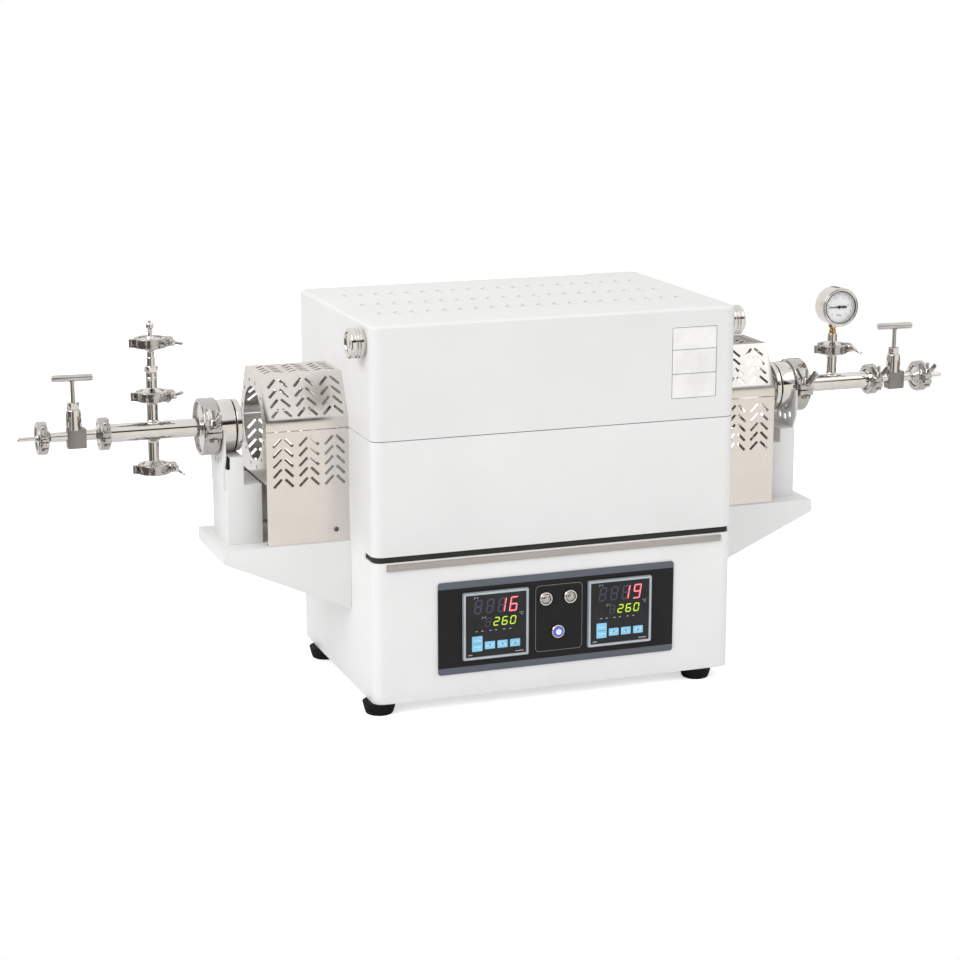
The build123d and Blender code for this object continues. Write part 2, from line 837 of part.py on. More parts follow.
# Side shelves: folded sheet, open below
with BuildPart() as side_brackets:
    shelf_side = Plane(origin=(0, -shelf_half_width, 0), x_dir=(1, 0, 0), z_dir=(0, -1, 0))
    shelf_end_x = side_x + shelf_reach
    with BuildSketch(shelf_side):
        with BuildLine():
            Polyline(
                (side_x, shelf_top),
                (shelf_end_x, shelf_top),
                (shelf_end_x, shelf_top - shelf_end_height),
                (side_x, shelf_top - shelf_root_height),
                close=True,
            )
        make_face()
    extrude(amount=-2 * shelf_half_width)
    with Locations((side_x + shelf_reach / 2, 0, shelf_top - shelf_sheet)):
        Box(
            shelf_reach - 2 * shelf_sheet,
            2 * (shelf_half_width - shelf_sheet),
            2 * shelf_root_height,
            align=down_from_top,
            mode=Mode.SUBTRACT,
        )
    mirror(about=Plane.YZ)
save(side_brackets, "side_brackets")

# Posts that carry the end flanges: tall behind the flange, low beside the guard
post_low_x = guard_end_x + seat_gap


def post_outline(top, inset):
    """Side view of a post, drawn in by its sheet and left open towards the guard and below."""
    return [
        (post_low_x - inset, shelf_top - inset),
        (post_low_x - inset, post_low_top - inset),
        (post_inner_x + inset, post_low_top - inset),
        (post_inner_x + inset, top - inset),
        (post_outer_x - inset, top - inset),
        (post_outer_x - inset, shelf_top - inset),
    ]


def post_shell(top):
    """One post as a folded sheet box."""
    with BuildPart(mode=Mode.PRIVATE) as post:
        with BuildSketch(Plane(origin=(0, -post_half_width, 0), x_dir=(1, 0, 0), z_dir=(0, -1, 0))):
            with BuildLine():
                Polyline(*post_outline(top, 0), close=True)
            make_face()
        extrude(amount=-2 * post_half_width)
        inner_face = Plane(origin=(0, post_sheet - post_half_width, 0), x_dir=(1, 0, 0), z_dir=(0, -1, 0))
        with BuildSketch(inner_face):
            with BuildLine():
                Polyline(*post_outline(top, post_sheet), close=True)
            make_face()
        extrude(amount=-2 * (post_half_width - post_sheet), mode=Mode.SUBTRACT)
    return post.part


post_right = post_shell(split_z - post_drop_right)
post_left = post_shell(split_z - post_drop_left).mirror(Plane.YZ)
with BuildPart() as flange_posts:
    add(post_right)
    add(post_left)
    with Locations((-post_outer_x, -post_half_width, split_z - post_drop_left)):
        Box(
            2 * post_notch_width,
            2 * post_notch_depth,
            2 * post_notch_height,
            mode=Mode.SUBTRACT,
        )
save(flange_posts, "flange_posts")

with BuildPart() as flange_saddles:
    with BuildSketch(Plane.YZ.offset(post_outer_x)):
        with BuildLine():
            Polyline(
                (-post_half_width, split_z),
                (-post_half_width, split_z - saddle_shoulder_drop),
                (-post_half_width + saddle_waist_inset, split_z - saddle_waist_drop),
                (-post_half_width + saddle_waist_inset, saddle_foot_z),
                (post_half_width - saddle_waist_inset, saddle_foot_z),
                (post_half_width - saddle_waist_inset, split_z - saddle_waist_drop),
                (post_half_width, split_z - saddle_shoulder_drop),
                (post_half_width, split_z),
                close=True,
            )
        make_face()
        with Locations((0, split_z)):
            Circle(flange_radius + seat_gap / 2, mode=Mode.SUBTRACT)
        for turn in (-1.5, -0.5, 0.5, 1.5):
            hole_angle = math.radians(turn * saddle_hole_step)
            with Locations(
                (saddle_hole_ring * math.sin(hole_angle), split_z - saddle_hole_ring * math.cos(hole_angle))
            ):
                Circle(saddle_hole_radius, mode=Mode.SUBTRACT)
    extrude(amount=saddle_thickness)
    mirror(about=Plane.YZ)
save(flange_saddles, "flange_saddles")

# Process tube, its compression rings, seals and end flanges
with BuildPart() as process_tube:
    with Locations((0, 0, split_z)):
        Cylinder(tube_radius, 2 * tube_end_x, rotation=(0, 90, 0))
        Cylinder(tube_radius - tube_wall, 3 * tube_end_x, rotation=(0, 90, 0), mode=Mode.SUBTRACT)
save(process_tube, "process_tube")

seal_bore = tube_radius + seat_gap
seal_outer = tube_radius + 4
seal_start = ring_start_x + ring_length - 2.0
seal_end = flange_start_x + 3.0
ring_outline = [
    (ring_start_x, seal_bore),
    (ring_start_x, flange_radius - 1),
    (ring_start_x + 1, flange_radius),
    (ring_start_x + ring_length, flange_radius),
    (ring_start_x + ring_length, seal_outer + seat_gap),
    (seal_start, seal_outer + seat_gap),
    (seal_start, seal_bore),
]
ring_solid = turned(tube_plane, ring_outline)
with BuildPart() as compression_rings:
    add(ring_solid)
    mirror(about=Plane.YZ)
save(compression_rings, "compression_rings")

seal_outline = [
    (seal_start, tube_radius + running_gap),
    (seal_start, seal_outer),
    (seal_end, seal_outer),
    (seal_end, tube_radius + running_gap),
]
seal_solid = turned(tube_plane, seal_outline)
with BuildPart() as seal_rings:
    add(seal_solid)
    mirror(about=Plane.YZ)
save(seal_rings, "seal_rings")

flange_outline = [
    (flange_start_x, seal_outer + seat_gap),
    (flange_start_x, flange_radius),
    (clamp_start_x - 1, flange_radius),
    (clamp_start_x - 1, flange_rim_edge),
    (joint_x - flange_rim_half, flange_rim_edge),
    (joint_x - flange_rim_land, flange_radius),
    (joint_x, flange_radius),
    (joint_x, flange_bore),
    (tube_end_x + seat_gap, flange_bore),
    (tube_end_x + seat_gap, seal_bore),
    (seal_end, seal_bore),
    (seal_end, seal_outer + seat_gap),
]
flange_solid = turned(tube_plane, flange_outline)
with BuildPart() as tube_flanges:
    add(flange_solid)
    mirror(about=Plane.YZ)
save(tube_flanges, "tube_flanges")


# Gas lines: turned pipes with a clamped rim at each end
def line_pipe(end_x):
    """Cover disc and main pipe, from the large clamp out to the pipe's rim."""
    out = math.copysign(1, end_x)
    outline = [
        (out * joint_x, pipe_bore),
        (out * joint_x, flange_radius),
        (out * (joint_x + flange_rim_land), flange_radius),
        (out * (joint_x + flange_rim_half), flange_rim_edge),
        (out * (joint_x + cover_thickness), flange_rim_edge),
        (out * (joint_x + cover_thickness), pipe_radius),
    ]
    outline += reversed(rim(end_x, -out, pipe_radius))
    outline += [(end_x, pipe_bore)]
    return turned(tube_plane, outline)


def port_pipe(port_x, rise):
    """Side port from inside the main pipe's wall out to its own rim."""
    away = -math.copysign(1, rise)
    outline = [(0, 0), (0, port_radius)]
    outline += reversed(rim(rise, away, port_radius))
    outline += [(rise, 0)]
    return turned(standing(port_x, 0, split_z), outline)


def drill_ports(port_x, rises):
    """Bore each side port through into the main pipe."""
    for rise in rises:
        with Locations((port_x, 0, split_z + rise / 2)):
            Cylinder(port_bore, abs(rise), mode=Mode.SUBTRACT)
    with Locations((port_x, 0, split_z)):
        Cylinder(pipe_bore, 4 * port_radius, rotation=(0, 90, 0), mode=Mode.SUBTRACT)


cross_rises = (upper_port_rise, -lower_port_drop)
cross_pieces = [line_pipe(cross_end_x)]
cross_pieces += [port_pipe(cross_port_x, rise) for rise in cross_rises]
with BuildPart() as gas_cross:
    add(cross_pieces)
    drill_ports(cross_port_x, cross_rises)
save(gas_cross, "gas_cross")

tee_pieces = [line_pipe(tee_end_x), port_pipe(tee_port_x, gauge_port_rise)]
with BuildPart() as gas_tee:
    add(tee_pieces)
    drill_ports(tee_port_x, (gauge_port_rise,))
save(gas_tee, "gas_tee")

# Fittings on the cross: blank below, relief valve above, electrode feedthrough on top
upper_joint_z = split_z + upper_port_rise
relief_plane = standing(cross_port_x, 0, upper_joint_z)
relief_outline = [(0, 0)] + rim(0, 1, port_radius)
relief_outline += [
    (relief_height * 0.45, port_radius),
    (relief_height * 0.55, port_radius - 1),
    (relief_height * 0.72, port_radius - 1),
    (relief_height * 0.76, port_radius - 2.3),
]
relief_outline += reversed(rim(relief_height, -1, port_radius - 2.3))
relief_outline += [(relief_height, 0)]
relief_body = turned(relief_plane, relief_outline)
with BuildPart() as relief_valve:
    add(relief_body)
    with BuildSketch(Plane.XY.offset(upper_joint_z + relief_height * 0.46)):
        with Locations((cross_port_x, 0)):
            RegularPolygon(port_radius + 2.2, 6)
    extrude(amount=7)
save(relief_valve, "relief_valve")

top_joint_z = upper_joint_z + relief_height
cap_outline = [(0, 0)] + rim(0, 1, port_radius - 2)[:3] + [(rim_half, port_radius - 2)]
feedthrough_outline = cap_outline + [
    (rim_half + 3, port_radius - 2),
    (rim_half + 3, 2.5),
    (rim_half + 9, 2.5),
    (rim_half + 9, 4.6),
    (rim_half + 17, 4.6),
    (rim_half + 20, 2.0),
    (rim_half + 25, 2.0),
    (rim_half + 25, 0),
]
feedthrough_solid = turned(standing(cross_port_x, 0, top_joint_z), feedthrough_outline)
with BuildPart() as feedthrough:
    add(feedthrough_solid)
save(feedthrough, "feedthrough")

lower_joint_z = split_z - lower_port_drop
blank_outline = [(0, 0)] + rim(0, -1, rim_edge_radius)[:3] + [(-rim_half, 0)]
blank_solid = turned(standing(cross_port_x, 0, lower_joint_z), blank_outline)
with BuildPart() as port_blank:
    add(blank_solid)
save(port_blank, "port_blank")


# Needle valves: bar-stock body between two rims, bonnet and packing nut above, stem and T handle
bonnet_z = valve_height / 2 - valve_drop
packing_nut_z = bonnet_z + bonnet_height
stem_foot = split_z + packing_nut_z + packing_nut_height - stem_depth + seat_gap
handle_z = split_z + stem_top_rise


def valve_body(inner_x, stem_x, outer_x):
    """Valve body with its two tubes, bonnet, packing nut and the stem's bore."""
    out = math.copysign(1, outer_x)
    tube_outline = [(inner_x, 0)] + rim(inner_x, out, port_radius)
    tube_outline += list(reversed(rim(outer_x, -out, port_radius - 1))) + [(outer_x, 0)]
    tubes = turned(tube_plane, tube_outline)
    bonnet = turned(
        standing(stem_x, 0, split_z),
        [
            (0, 0),
            (0, bonnet_radius),
            (bonnet_z + bonnet_height * 0.65, bonnet_radius),
            (packing_nut_z, bonnet_tip_radius),
            (packing_nut_z, 0),
        ],
    )
    with BuildPart(mode=Mode.PRIVATE) as body:
        add(tubes)
        add(bonnet)
        with Locations((stem_x + valve_offset, 0, split_z - valve_drop)):
            Box(valve_width, valve_depth, valve_height)
        with BuildSketch(Plane.XY.offset(split_z + packing_nut_z)):
            with Locations((stem_x, 0)):
                RegularPolygon(packing_nut_radius, 6)
        extrude(amount=packing_nut_height)
        with Locations((stem_x, 0, split_z + packing_nut_z + packing_nut_height - stem_depth)):
            Cylinder(stem_radius + running_gap, 2 * stem_depth, align=up_from_bottom, mode=Mode.SUBTRACT)
    return body.part


valves = (
    ("inlet", cross_end_x, inlet_stem_x, inlet_end_x, inlet_tip_x),
    ("outlet", tee_end_x, outlet_stem_x, outlet_end_x, outlet_tip_x),
)
for line_name, inner_x, stem_x, outer_x, tip_x in valves:
    out = math.copysign(1, outer_x)
    valve_solid = valve_body(inner_x, stem_x, outer_x)
    with BuildPart() as body:
        add(valve_solid)
    save(body, f"{line_name}_valve_body")

    with BuildPart() as stem:
        with Locations((stem_x, 0, stem_foot)):
            Cylinder(stem_radius, handle_z + handle_socket - seat_gap - stem_foot, align=up_from_bottom)
    save(stem, f"{line_name}_stem")

    with BuildPart() as handle:
        with Locations(Location((stem_x, 0, handle_z), (0, 0, handle_turn))):
            Cylinder(handle_radius, handle_length, rotation=(0, 90, 0))
        chamfer(handle.edges().filter_by(GeomType.CIRCLE), length=0.8)
        with Locations((stem_x, 0, handle_z + handle_socket)):
            Cylinder(stem_radius + running_gap, 2 * handle_radius, align=down_from_top, mode=Mode.SUBTRACT)
    save(handle, f"{line_name}_handle")

    stub_outline = [(outer_x, stub_bore)] + rim(outer_x, out, stub_hub_radius)[:3]
    stub_outline += [
        (outer_x + out * rim_half, stub_hub_radius),
        (outer_x + out * stub_hub_length, stub_radius),
        (tip_x - out * 0.5, stub_radius),
        (tip_x, stub_radius - 0.5),
        (tip_x, stub_bore),
    ]
    stub_solid = turned(tube_plane, stub_outline)
    with BuildPart() as stub:
        add(stub_solid)
    save(stub, f"gas_{line_name}")


# Swing clamps: two half bands hinged on a pin, drawn together by a screw with a wing nut.
# The band's axis is local z, it parts in local y = 0, its hinge is at -x and its screw at +x.
def clamp_sizes(outer, half_width):
    """Places of a clamp's screw and hinge pin, from the size of its band."""
    return outer + clamp_lug_length / 2, -(outer + clamp_knuckle_radius + seat_gap), half_width - 1.0


def clamp_half(side, outer, half_width, groove):
    """Half of a clamp's band, with its lug and its share of the hinge's knuckles."""
    land, half, rim_r, edge_r = groove
    screw_x, pin_x, lug_half = clamp_sizes(outer, half_width)
    with BuildPart(mode=Mode.PRIVATE) as band:
        with BuildSketch(Plane.XZ):
            with BuildLine():
                Polyline(
                    (outer, -half_width),
                    (outer, half_width),
                    (edge_r, half_width),
                    (edge_r, half),
                    (rim_r, land),
                    (rim_r, -land),
                    (edge_r, -half),
                    (edge_r, -half_width),
                    close=True,
                )
            make_face()
        revolve(axis=Axis.Z)
        with Locations((outer + (clamp_lug_length - clamp_root) / 2, side * clamp_lug_height / 2, 0)):
            Box(clamp_lug_length + clamp_root, clamp_lug_height, 2 * lug_half)
        with Locations((0, -side * (2 * outer - clamp_parting), 0)):
            Box(6 * outer, 4 * outer, 4 * half_width, mode=Mode.SUBTRACT)
        third = 2 * lug_half / 3
        spans = [0] if side > 0 else [-third, third]
        for span in spans:
            with Locations((pin_x, 0, span)):
                Cylinder(clamp_knuckle_radius, third - seat_gap)
            web_end = clamp_root - outer
            with Locations(((pin_x + web_end) / 2, side * clamp_knuckle_radius / 2, span)):
                Box(web_end - pin_x, clamp_knuckle_radius, third - seat_gap)
        with Locations((pin_x, 0, 0)):
            Cylinder(clamp_pin_radius + running_gap, 4 * half_width, mode=Mode.SUBTRACT)
        with Locations((screw_x, 0, 0)):
            Cylinder(
                clamp_screw_radius + seat_gap, 8 * clamp_lug_height, rotation=(90, 0, 0), mode=Mode.SUBTRACT
            )
    return band.part


def clamp_screw(outer, half_width):
    """Screw with its round nut at one end and its wing nut at the other."""
    screw_x, _, lug_half = clamp_sizes(outer, half_width)
    nut_y = -clamp_lug_height
    with BuildPart(mode=Mode.PRIVATE) as screw:
        with Locations((screw_x, nut_y - wing_hub_height - 2, 0)):
            Cylinder(
                clamp_screw_radius,
                2 * clamp_lug_height + wing_hub_height + 5,
                rotation=(-90, 0, 0),
                align=up_from_bottom,
            )
        with Locations((screw_x, nut_y, 0)):
            Cylinder(wing_hub_radius, wing_hub_height, rotation=(90, 0, 0), align=up_from_bottom)
        with Locations((screw_x, -nut_y, 0)):
            Cylinder(wing_hub_radius, 3, rotation=(-90, 0, 0), align=up_from_bottom)
        wing_plane = Plane(origin=(screw_x, nut_y, 0), x_dir=(0.6, 0, 0.8), z_dir=(-0.8, 0, 0.6))
        with BuildSketch(wing_plane):
            for wing in (-1, 1):
                with BuildLine():
                    Polyline(
                        (0, -1),
                        (wing * wing_span * 0.6, -2),
                        (wing * wing_span, -wing_hub_height - wing_rise * 0.6),
                        (wing * wing_span * 0.7, -wing_hub_height - wing_rise),
                        (wing * wing_hub_radius * 0.8, -wing_hub_height + 1),
                        (0, -wing_hub_height + 1),
                        close=True,
                    )
                make_face()
        extrude(amount=wing_thickness / 2, both=True)
    return screw.part


def clamp_pin(outer, half_width):
    """Hinge pin of a clamp."""
    _, pin_x, lug_half = clamp_sizes(outer, half_width)
    return Pos(pin_x, 0, 0) * Cylinder(clamp_pin_radius, 2 * lug_half)


def across(x):
    """Clamp round a horizontal pipe, its screw upright at the front."""
    return Plane(origin=(x, 0, split_z), x_dir=(0, -1, 0), z_dir=(1, 0, 0)).location


def around(x, z):
    """Clamp round an upright port, its screw on the side away from its hinge."""
    return Plane(origin=(x, 0, z), x_dir=(1, 0, 0), z_dir=(0, 0, 1)).location


line_groove = (rim_land, rim_half, rim_radius + seat_gap, rim_edge_radius + seat_gap)
flange_groove = (
    flange_rim_land,
    flange_rim_half,
    flange_radius + seat_gap,
    flange_rim_edge + seat_gap,
)
line_places = [
    across(cross_end_x),
    across(inlet_end_x),
    across(tee_end_x),
    across(outlet_end_x),
    around(cross_port_x, upper_joint_z),
    around(cross_port_x, top_joint_z),
    around(cross_port_x, lower_joint_z),
    around(tee_port_x, split_z + gauge_port_rise),
]
flange_places = [across(-joint_x), across(joint_x)]
clamp_sets = (
    ("line", line_places, clamp_outer_radius, clamp_half_width, line_groove),
    ("flange", flange_places, flange_clamp_outer, flange_clamp_half_width, flange_groove),
)
for set_name, places, outer, half_width, groove in clamp_sets:
    halves = [clamp_half(side, outer, half_width, groove) for side in (-1, 1)]
    screw_solid = clamp_screw(outer, half_width)
    pin_solid = clamp_pin(outer, half_width)
    with BuildPart() as clamps:
        for place in places:
            for half in halves:
                add(half.moved(place))
    save(clamps, f"{set_name}_clamps")
    with BuildPart() as screws:
        for place in places:
            add(screw_solid.moved(place))
            add(pin_solid.moved(place))
    save(screws, f"{set_name}_clamp_screws")

# Pressure gauge: adapter with a brass neck, case, dial, needle and glass
gauge_z = split_z + gauge_rise
adapter_z = split_z + gauge_port_rise
boss_z = gauge_z - math.sqrt(gauge_radius**2 - gauge_boss_radius**2) - 4
adapter_plane = standing(tee_port_x, 0, adapter_z)
adapter_outline = [(0, 0)] + rim(0, 1, adapter_radius)
adapter_outline += [
    (boss_z - adapter_z - neck_height, adapter_radius),
    (boss_z - adapter_z - neck_height, neck_radius),
    (boss_z - adapter_z, neck_radius),
    (boss_z - adapter_z, 0),
]
adapter_solid = turned(adapter_plane, adapter_outline)
with BuildPart() as gauge_adapter:
    add(adapter_solid)
save(gauge_adapter, "gauge_adapter")

gauge_plane = Plane(origin=(tee_port_x, gauge_front_y, gauge_z), x_dir=(0, 1, 0), z_dir=(1, 0, 0))
bezel_bore = gauge_radius - gauge_lip
cup_bore = gauge_radius - gauge_wall
dial_y = gauge_dial_depth
case_outline = [
    (0, bezel_bore),
    (0, gauge_radius - 1),
    (1, gauge_radius),
    (gauge_depth - 2, gauge_radius),
    (gauge_depth, gauge_radius - 3),
    (gauge_depth, 0),
    (dial_y + gauge_dial_thickness, 0),
    (dial_y + gauge_dial_thickness, cup_bore),
    (1.4, cup_bore),
    (1.4, bezel_bore),
]
case_solid = turned(gauge_plane, case_outline)
with BuildPart() as gauge_case:
    add(case_solid)
    with Locations((tee_port_x, 0, boss_z)):
        Cylinder(gauge_boss_radius, gauge_radius / 3, align=up_from_bottom)
    with Locations((tee_port_x, gauge_front_y + dial_y, gauge_z)):
        Cylinder(
            needle_pin_radius + running_gap, 8, rotation=(90, 0, 0), mode=Mode.SUBTRACT
        )
save(gauge_case, "gauge_case")

with BuildPart() as gauge_dial:
    with Locations((tee_port_x, gauge_front_y + dial_y + gauge_dial_thickness / 2, gauge_z)):
        Cylinder(cup_bore - seat_gap, gauge_dial_thickness, rotation=(90, 0, 0))
        Cylinder(needle_pin_radius + running_gap, 8, rotation=(90, 0, 0), mode=Mode.SUBTRACT)
save(gauge_dial, "gauge_dial")

with BuildPart() as gauge_glass:
    with Locations((tee_port_x, gauge_front_y + gauge_wall + gauge_glass_thickness / 2, gauge_z)):
        Cylinder(cup_bore - seat_gap, gauge_glass_thickness, rotation=(90, 0, 0))
save(gauge_glass, "gauge_glass")

needle_y = gauge_front_y + dial_y - 1.4
with BuildPart() as gauge_needle:
    with BuildSketch(Plane(origin=(tee_port_x, needle_y, gauge_z), x_dir=(1, 0, 0), z_dir=(0, -1, 0))):
        with BuildLine():
            Polyline(
                (-needle_length, 0.3),
                (-needle_length, -0.3),
                (0, -1.1),
                (needle_tail * 0.4, -0.9),
                (needle_tail, -1.5),
                (needle_tail, 1.5),
                (needle_tail * 0.4, 0.9),
                (0, 1.1),
                close=True,
            )
        make_face()
        Circle(2.6)
    extrude(amount=-needle_thickness)
    with Locations((tee_port_x, needle_y, gauge_z)):
        Cylinder(needle_pin_radius, 3.6, rotation=(-90, 0, 0), align=up_from_bottom)
save(gauge_needle, "gauge_needle")

# Visible screws: guard walls and rear cover
guard_screw_x = side_x + 19.0
guard_screw_z = shelf_top + 17.0
with BuildPart() as cover_screws:
    for side in (-1, 1):
        with Locations((0, side * (guard_half_width + screw_height / 2), guard_screw_z)):
            with Locations((-guard_screw_x, 0, 0), (guard_screw_x, 0, 0)):
                Cylinder(screw_radius, screw_height, rotation=(90, 0, 0))
    with Locations((0, back_y + sheet + screw_height / 2, rear_cover_z)):
        for side in (-1, 1):
            for end in (-1, 1):
                place_x = side * (rear_cover_width / 2 - rear_window_margin / 2)
                place_z = end * (rear_cover_height / 2 - rear_window_margin / 2)
                with Locations((place_x, 0, place_z)):
                    Cylinder(screw_radius, screw_height, rotation=(90, 0, 0))
save(cover_screws, "cover_screws")
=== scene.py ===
"""Split tube furnace: the dressed pieces, their finishes, the studio and the camera.

Positions and sizes are in millimetres and become metres when a piece is finished.
"""

import json
import math

import bmesh
import bpy
from bpy.props import FloatProperty, FloatVectorProperty, IntProperty, PointerProperty
from mathutils import Euler, Matrix, Vector


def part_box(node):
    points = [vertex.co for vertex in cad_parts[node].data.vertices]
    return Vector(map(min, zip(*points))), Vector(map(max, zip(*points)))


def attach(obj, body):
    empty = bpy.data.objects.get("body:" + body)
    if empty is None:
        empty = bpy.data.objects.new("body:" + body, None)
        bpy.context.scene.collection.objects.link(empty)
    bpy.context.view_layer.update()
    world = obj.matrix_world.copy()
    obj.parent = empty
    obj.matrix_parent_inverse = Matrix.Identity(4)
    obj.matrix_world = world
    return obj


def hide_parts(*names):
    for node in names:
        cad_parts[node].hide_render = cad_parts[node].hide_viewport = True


bl_info = {
    "name": "Split tube furnace",
    "version": (1, 0, 0),
    "blender": (4, 5, 0),
    "location": "View3D > Sidebar > Furnace",
    "description": "Builds a split tube furnace with its gas lines, finishes and studio",
    "category": "Add Mesh",
}

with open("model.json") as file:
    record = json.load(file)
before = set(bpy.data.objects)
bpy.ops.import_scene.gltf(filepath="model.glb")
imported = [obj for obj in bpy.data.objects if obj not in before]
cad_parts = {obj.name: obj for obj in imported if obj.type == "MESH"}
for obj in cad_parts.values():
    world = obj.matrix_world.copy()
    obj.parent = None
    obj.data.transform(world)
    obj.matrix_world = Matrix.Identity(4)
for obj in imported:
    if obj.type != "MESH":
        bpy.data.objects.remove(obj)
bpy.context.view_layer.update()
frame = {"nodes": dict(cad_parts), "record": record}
MM = 0.001
SHARP_ANGLE = math.radians(32)


# ---------------------------------------------------------------- places read from the frame


def low(node, axis):
    """Lowest coordinate of a node along an axis, in millimetres."""
    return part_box(node)[0]["xyz".index(axis)] / MM


def high(node, axis):
    """Highest coordinate of a node along an axis, in millimetres."""
    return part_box(node)[1]["xyz".index(axis)] / MM


def middle(node, axis):
    """Middle of a node along an axis, in millimetres."""
    return (low(node, axis) + high(node, axis)) / 2


AXIS_Z = middle("process_tube", "z")
SIDE_X = high("base_housing", "x")
FRONT_Y = low("base_housing", "y")
JOINT_X = high("tube_flanges", "x")
CROSS_X = middle("port_blank", "x")
TEE_X = middle("gauge_adapter", "x")
UPPER_PORT_Z = low("relief_valve", "z")
TOP_PORT_Z = high("relief_valve", "z")
LOWER_PORT_Z = high("port_blank", "z")
GAUGE_PORT_Z = low("gauge_adapter", "z")
CLAMP_HALF = 6.75


# ---------------------------------------------------------------- mesh building


def finish(bm, name, material, body, replaces=(), smooth=True):
    """Turn a mesh in millimetres into a finished piece that rides on its body."""
    bmesh.ops.remove_doubles(bm, verts=bm.verts, dist=0.002)
    bmesh.ops.recalc_face_normals(bm, faces=bm.faces)
    bmesh.ops.scale(bm, vec=(MM, MM, MM), verts=bm.verts)
    mesh = bpy.data.meshes.new(name)
    shade(bm, smooth)
    bm.to_mesh(mesh)
    bm.free()
    return place(mesh, name, material, body, replaces)


def shade(bm, smooth=True):
    """Smooth the faces and keep the edges that turn sharply."""
    for face in bm.faces:
        face.smooth = smooth
    for edge in bm.edges:
        edge.smooth = len(edge.link_faces) == 2 and edge.calc_face_angle(0.0) < SHARP_ANGLE


def place(mesh, name, material, body, replaces=()):
    """Link a finished mesh as a piece of the furnace."""
    piece = bpy.data.objects.new(name, mesh)
    bpy.context.scene.collection.objects.link(piece)
    if material is not None:
        mesh.materials.clear()
        mesh.materials.append(material)
    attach(piece, body)
    if replaces:
        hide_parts(*replaces)
    return piece


def join(*parts):
    """One mesh from several, each given as a mesh or as (mesh, matrix)."""
    whole = bmesh.new()
    for part in parts:
        bm, matrix = part if isinstance(part, tuple) else (part, None)
        mesh = bpy.data.meshes.new("part")
        bm.to_mesh(mesh)
        start = len(whole.verts)
        whole.from_mesh(mesh)
        bpy.data.meshes.remove(mesh)
        if matrix is not None:
            whole.verts.ensure_lookup_table()
            bmesh.ops.transform(whole, matrix=matrix, verts=whole.verts[start:])
    return whole


def along_x(x=0.0, y=0.0, z=None):
    """Matrix that stands a piece turned about local z along +X."""
    height = AXIS_Z if z is None else z
    return Matrix.Translation((x, y, height)) @ Matrix.Rotation(math.pi / 2, 4, "Y")


def upright(x, y, z):
    """Matrix that leaves a piece turned about local z standing."""
    return Matrix.Translation((x, y, z))


def facing_front(x, y, z):
    """Matrix that points a piece's local z to the front and its local y up."""
    return Matrix.Translation((x, y, z)) @ Matrix.Rotation(math.pi / 2, 4, "X")


def mirrored(bm):
    """Copy of a mesh on the other side of the furnace."""
    return join((bm, Matrix.Scale(-1, 4, (1, 0, 0))))


def eased(points, radius, steps=3, closed=False):
    """Outline with its corners rounded."""
    count = len(points)
    result = []
    for index, point in enumerate(points):
        if not closed and index in (0, count - 1):
            result.append(point)
            continue
        here = Vector(point[:2])
        before = Vector(points[index - 1][:2]) - here
        after = Vector(points[(index + 1) % count][:2]) - here
        reach = min(radius, before.length * 0.45, after.length * 0.45)
        if reach < 0.02 or before.length < 0.01 or after.length < 0.01:
            result.append(point)
            continue
        start = here + before.normalized() * reach
        end = here + after.normalized() * reach
        for step in range(steps + 1):
            share = step / steps
            result.append(tuple(start.lerp(here, share).lerp(here.lerp(end, share), share)))
    return result


def lathe(profile, segments=48, ease=0.0, closed=False, sweep=360.0, start=0.0):
    """Mesh turned about local z from (height, radius) points, eased at its corners."""
    points = eased(profile, ease, closed=closed) if ease else profile
    bm = bmesh.new()
    whole = sweep >= 360.0
    stations = segments if whole else segments + 1
    rings = []
    for height, radius in points:
        if radius < 1e-6 and whole:
            vert = bm.verts.new((0, 0, height))
            rings.append([vert] * stations)
            continue
        ring = []
        for step in range(stations):
            angle = math.radians(start + sweep * step / segments)
            ring.append(bm.verts.new((radius * math.cos(angle), radius * math.sin(angle), height)))
        rings.append(ring)
    pairs = list(zip(rings, rings[1:]))
    if closed:
        pairs.append((rings[-1], rings[0]))
    for first, second in pairs:
        for step in range(segments):
            nxt = (step + 1) % stations
            corners = [first[step], first[nxt], second[nxt], second[step]]
            unique = list(dict.fromkeys(corners))
            if len(unique) > 2:
                bm.faces.new(unique)
    if not whole and closed:
        for end in (0, -1):
            bm.faces.new([ring[end] for ring in rings])
    return bm


def slab(outline, thickness, bevel=0.0, segments=2):
    """Plate with a flat outline in local x and y, from z 0 up to its thickness."""
    bm = bmesh.new()
    face = bm.faces.new([bm.verts.new((x, y, 0)) for x, y in outline])
    raised = bmesh.ops.extrude_face_region(bm, geom=[face])
    verts = [item for item in raised["geom"] if isinstance(item, bmesh.types.BMVert)]
    bmesh.ops.translate(bm, verts=verts, vec=(0, 0, thickness))
    if bevel:
        edges = [e for e in bm.edges if e.calc_face_angle(0.0) > math.radians(25)]
        bmesh.ops.bevel(
            bm, geom=edges, offset=bevel, segments=segments, affect="EDGES", profile=0.6, clamp_overlap=True
        )
    return bm


def rounded_rectangle(width, height, radius, steps=5):
    """Outline of a rectangle with round corners, about the origin."""
    points = []
    for quarter in range(4):
        sx = 1 if quarter in (0, 3) else -1
        sy = 1 if quarter in (0, 1) else -1
        for step in range(steps + 1):
            angle = math.pi / 2 * (quarter + step / steps)
            x = sx * (width / 2 - radius) + radius * math.cos(angle)
            y = sy * (height / 2 - radius) + radius * math.sin(angle)
            points.append((x, y))
    return points


def wall_between(bm, rows):
    """Faces that join outlines of one count, each to the next."""
    for first, second in zip(rows, rows[1:]):
        for index in range(len(first)):
            after = (index + 1) % len(first)
            bm.faces.new([first[index], first[after], second[after], second[index]])


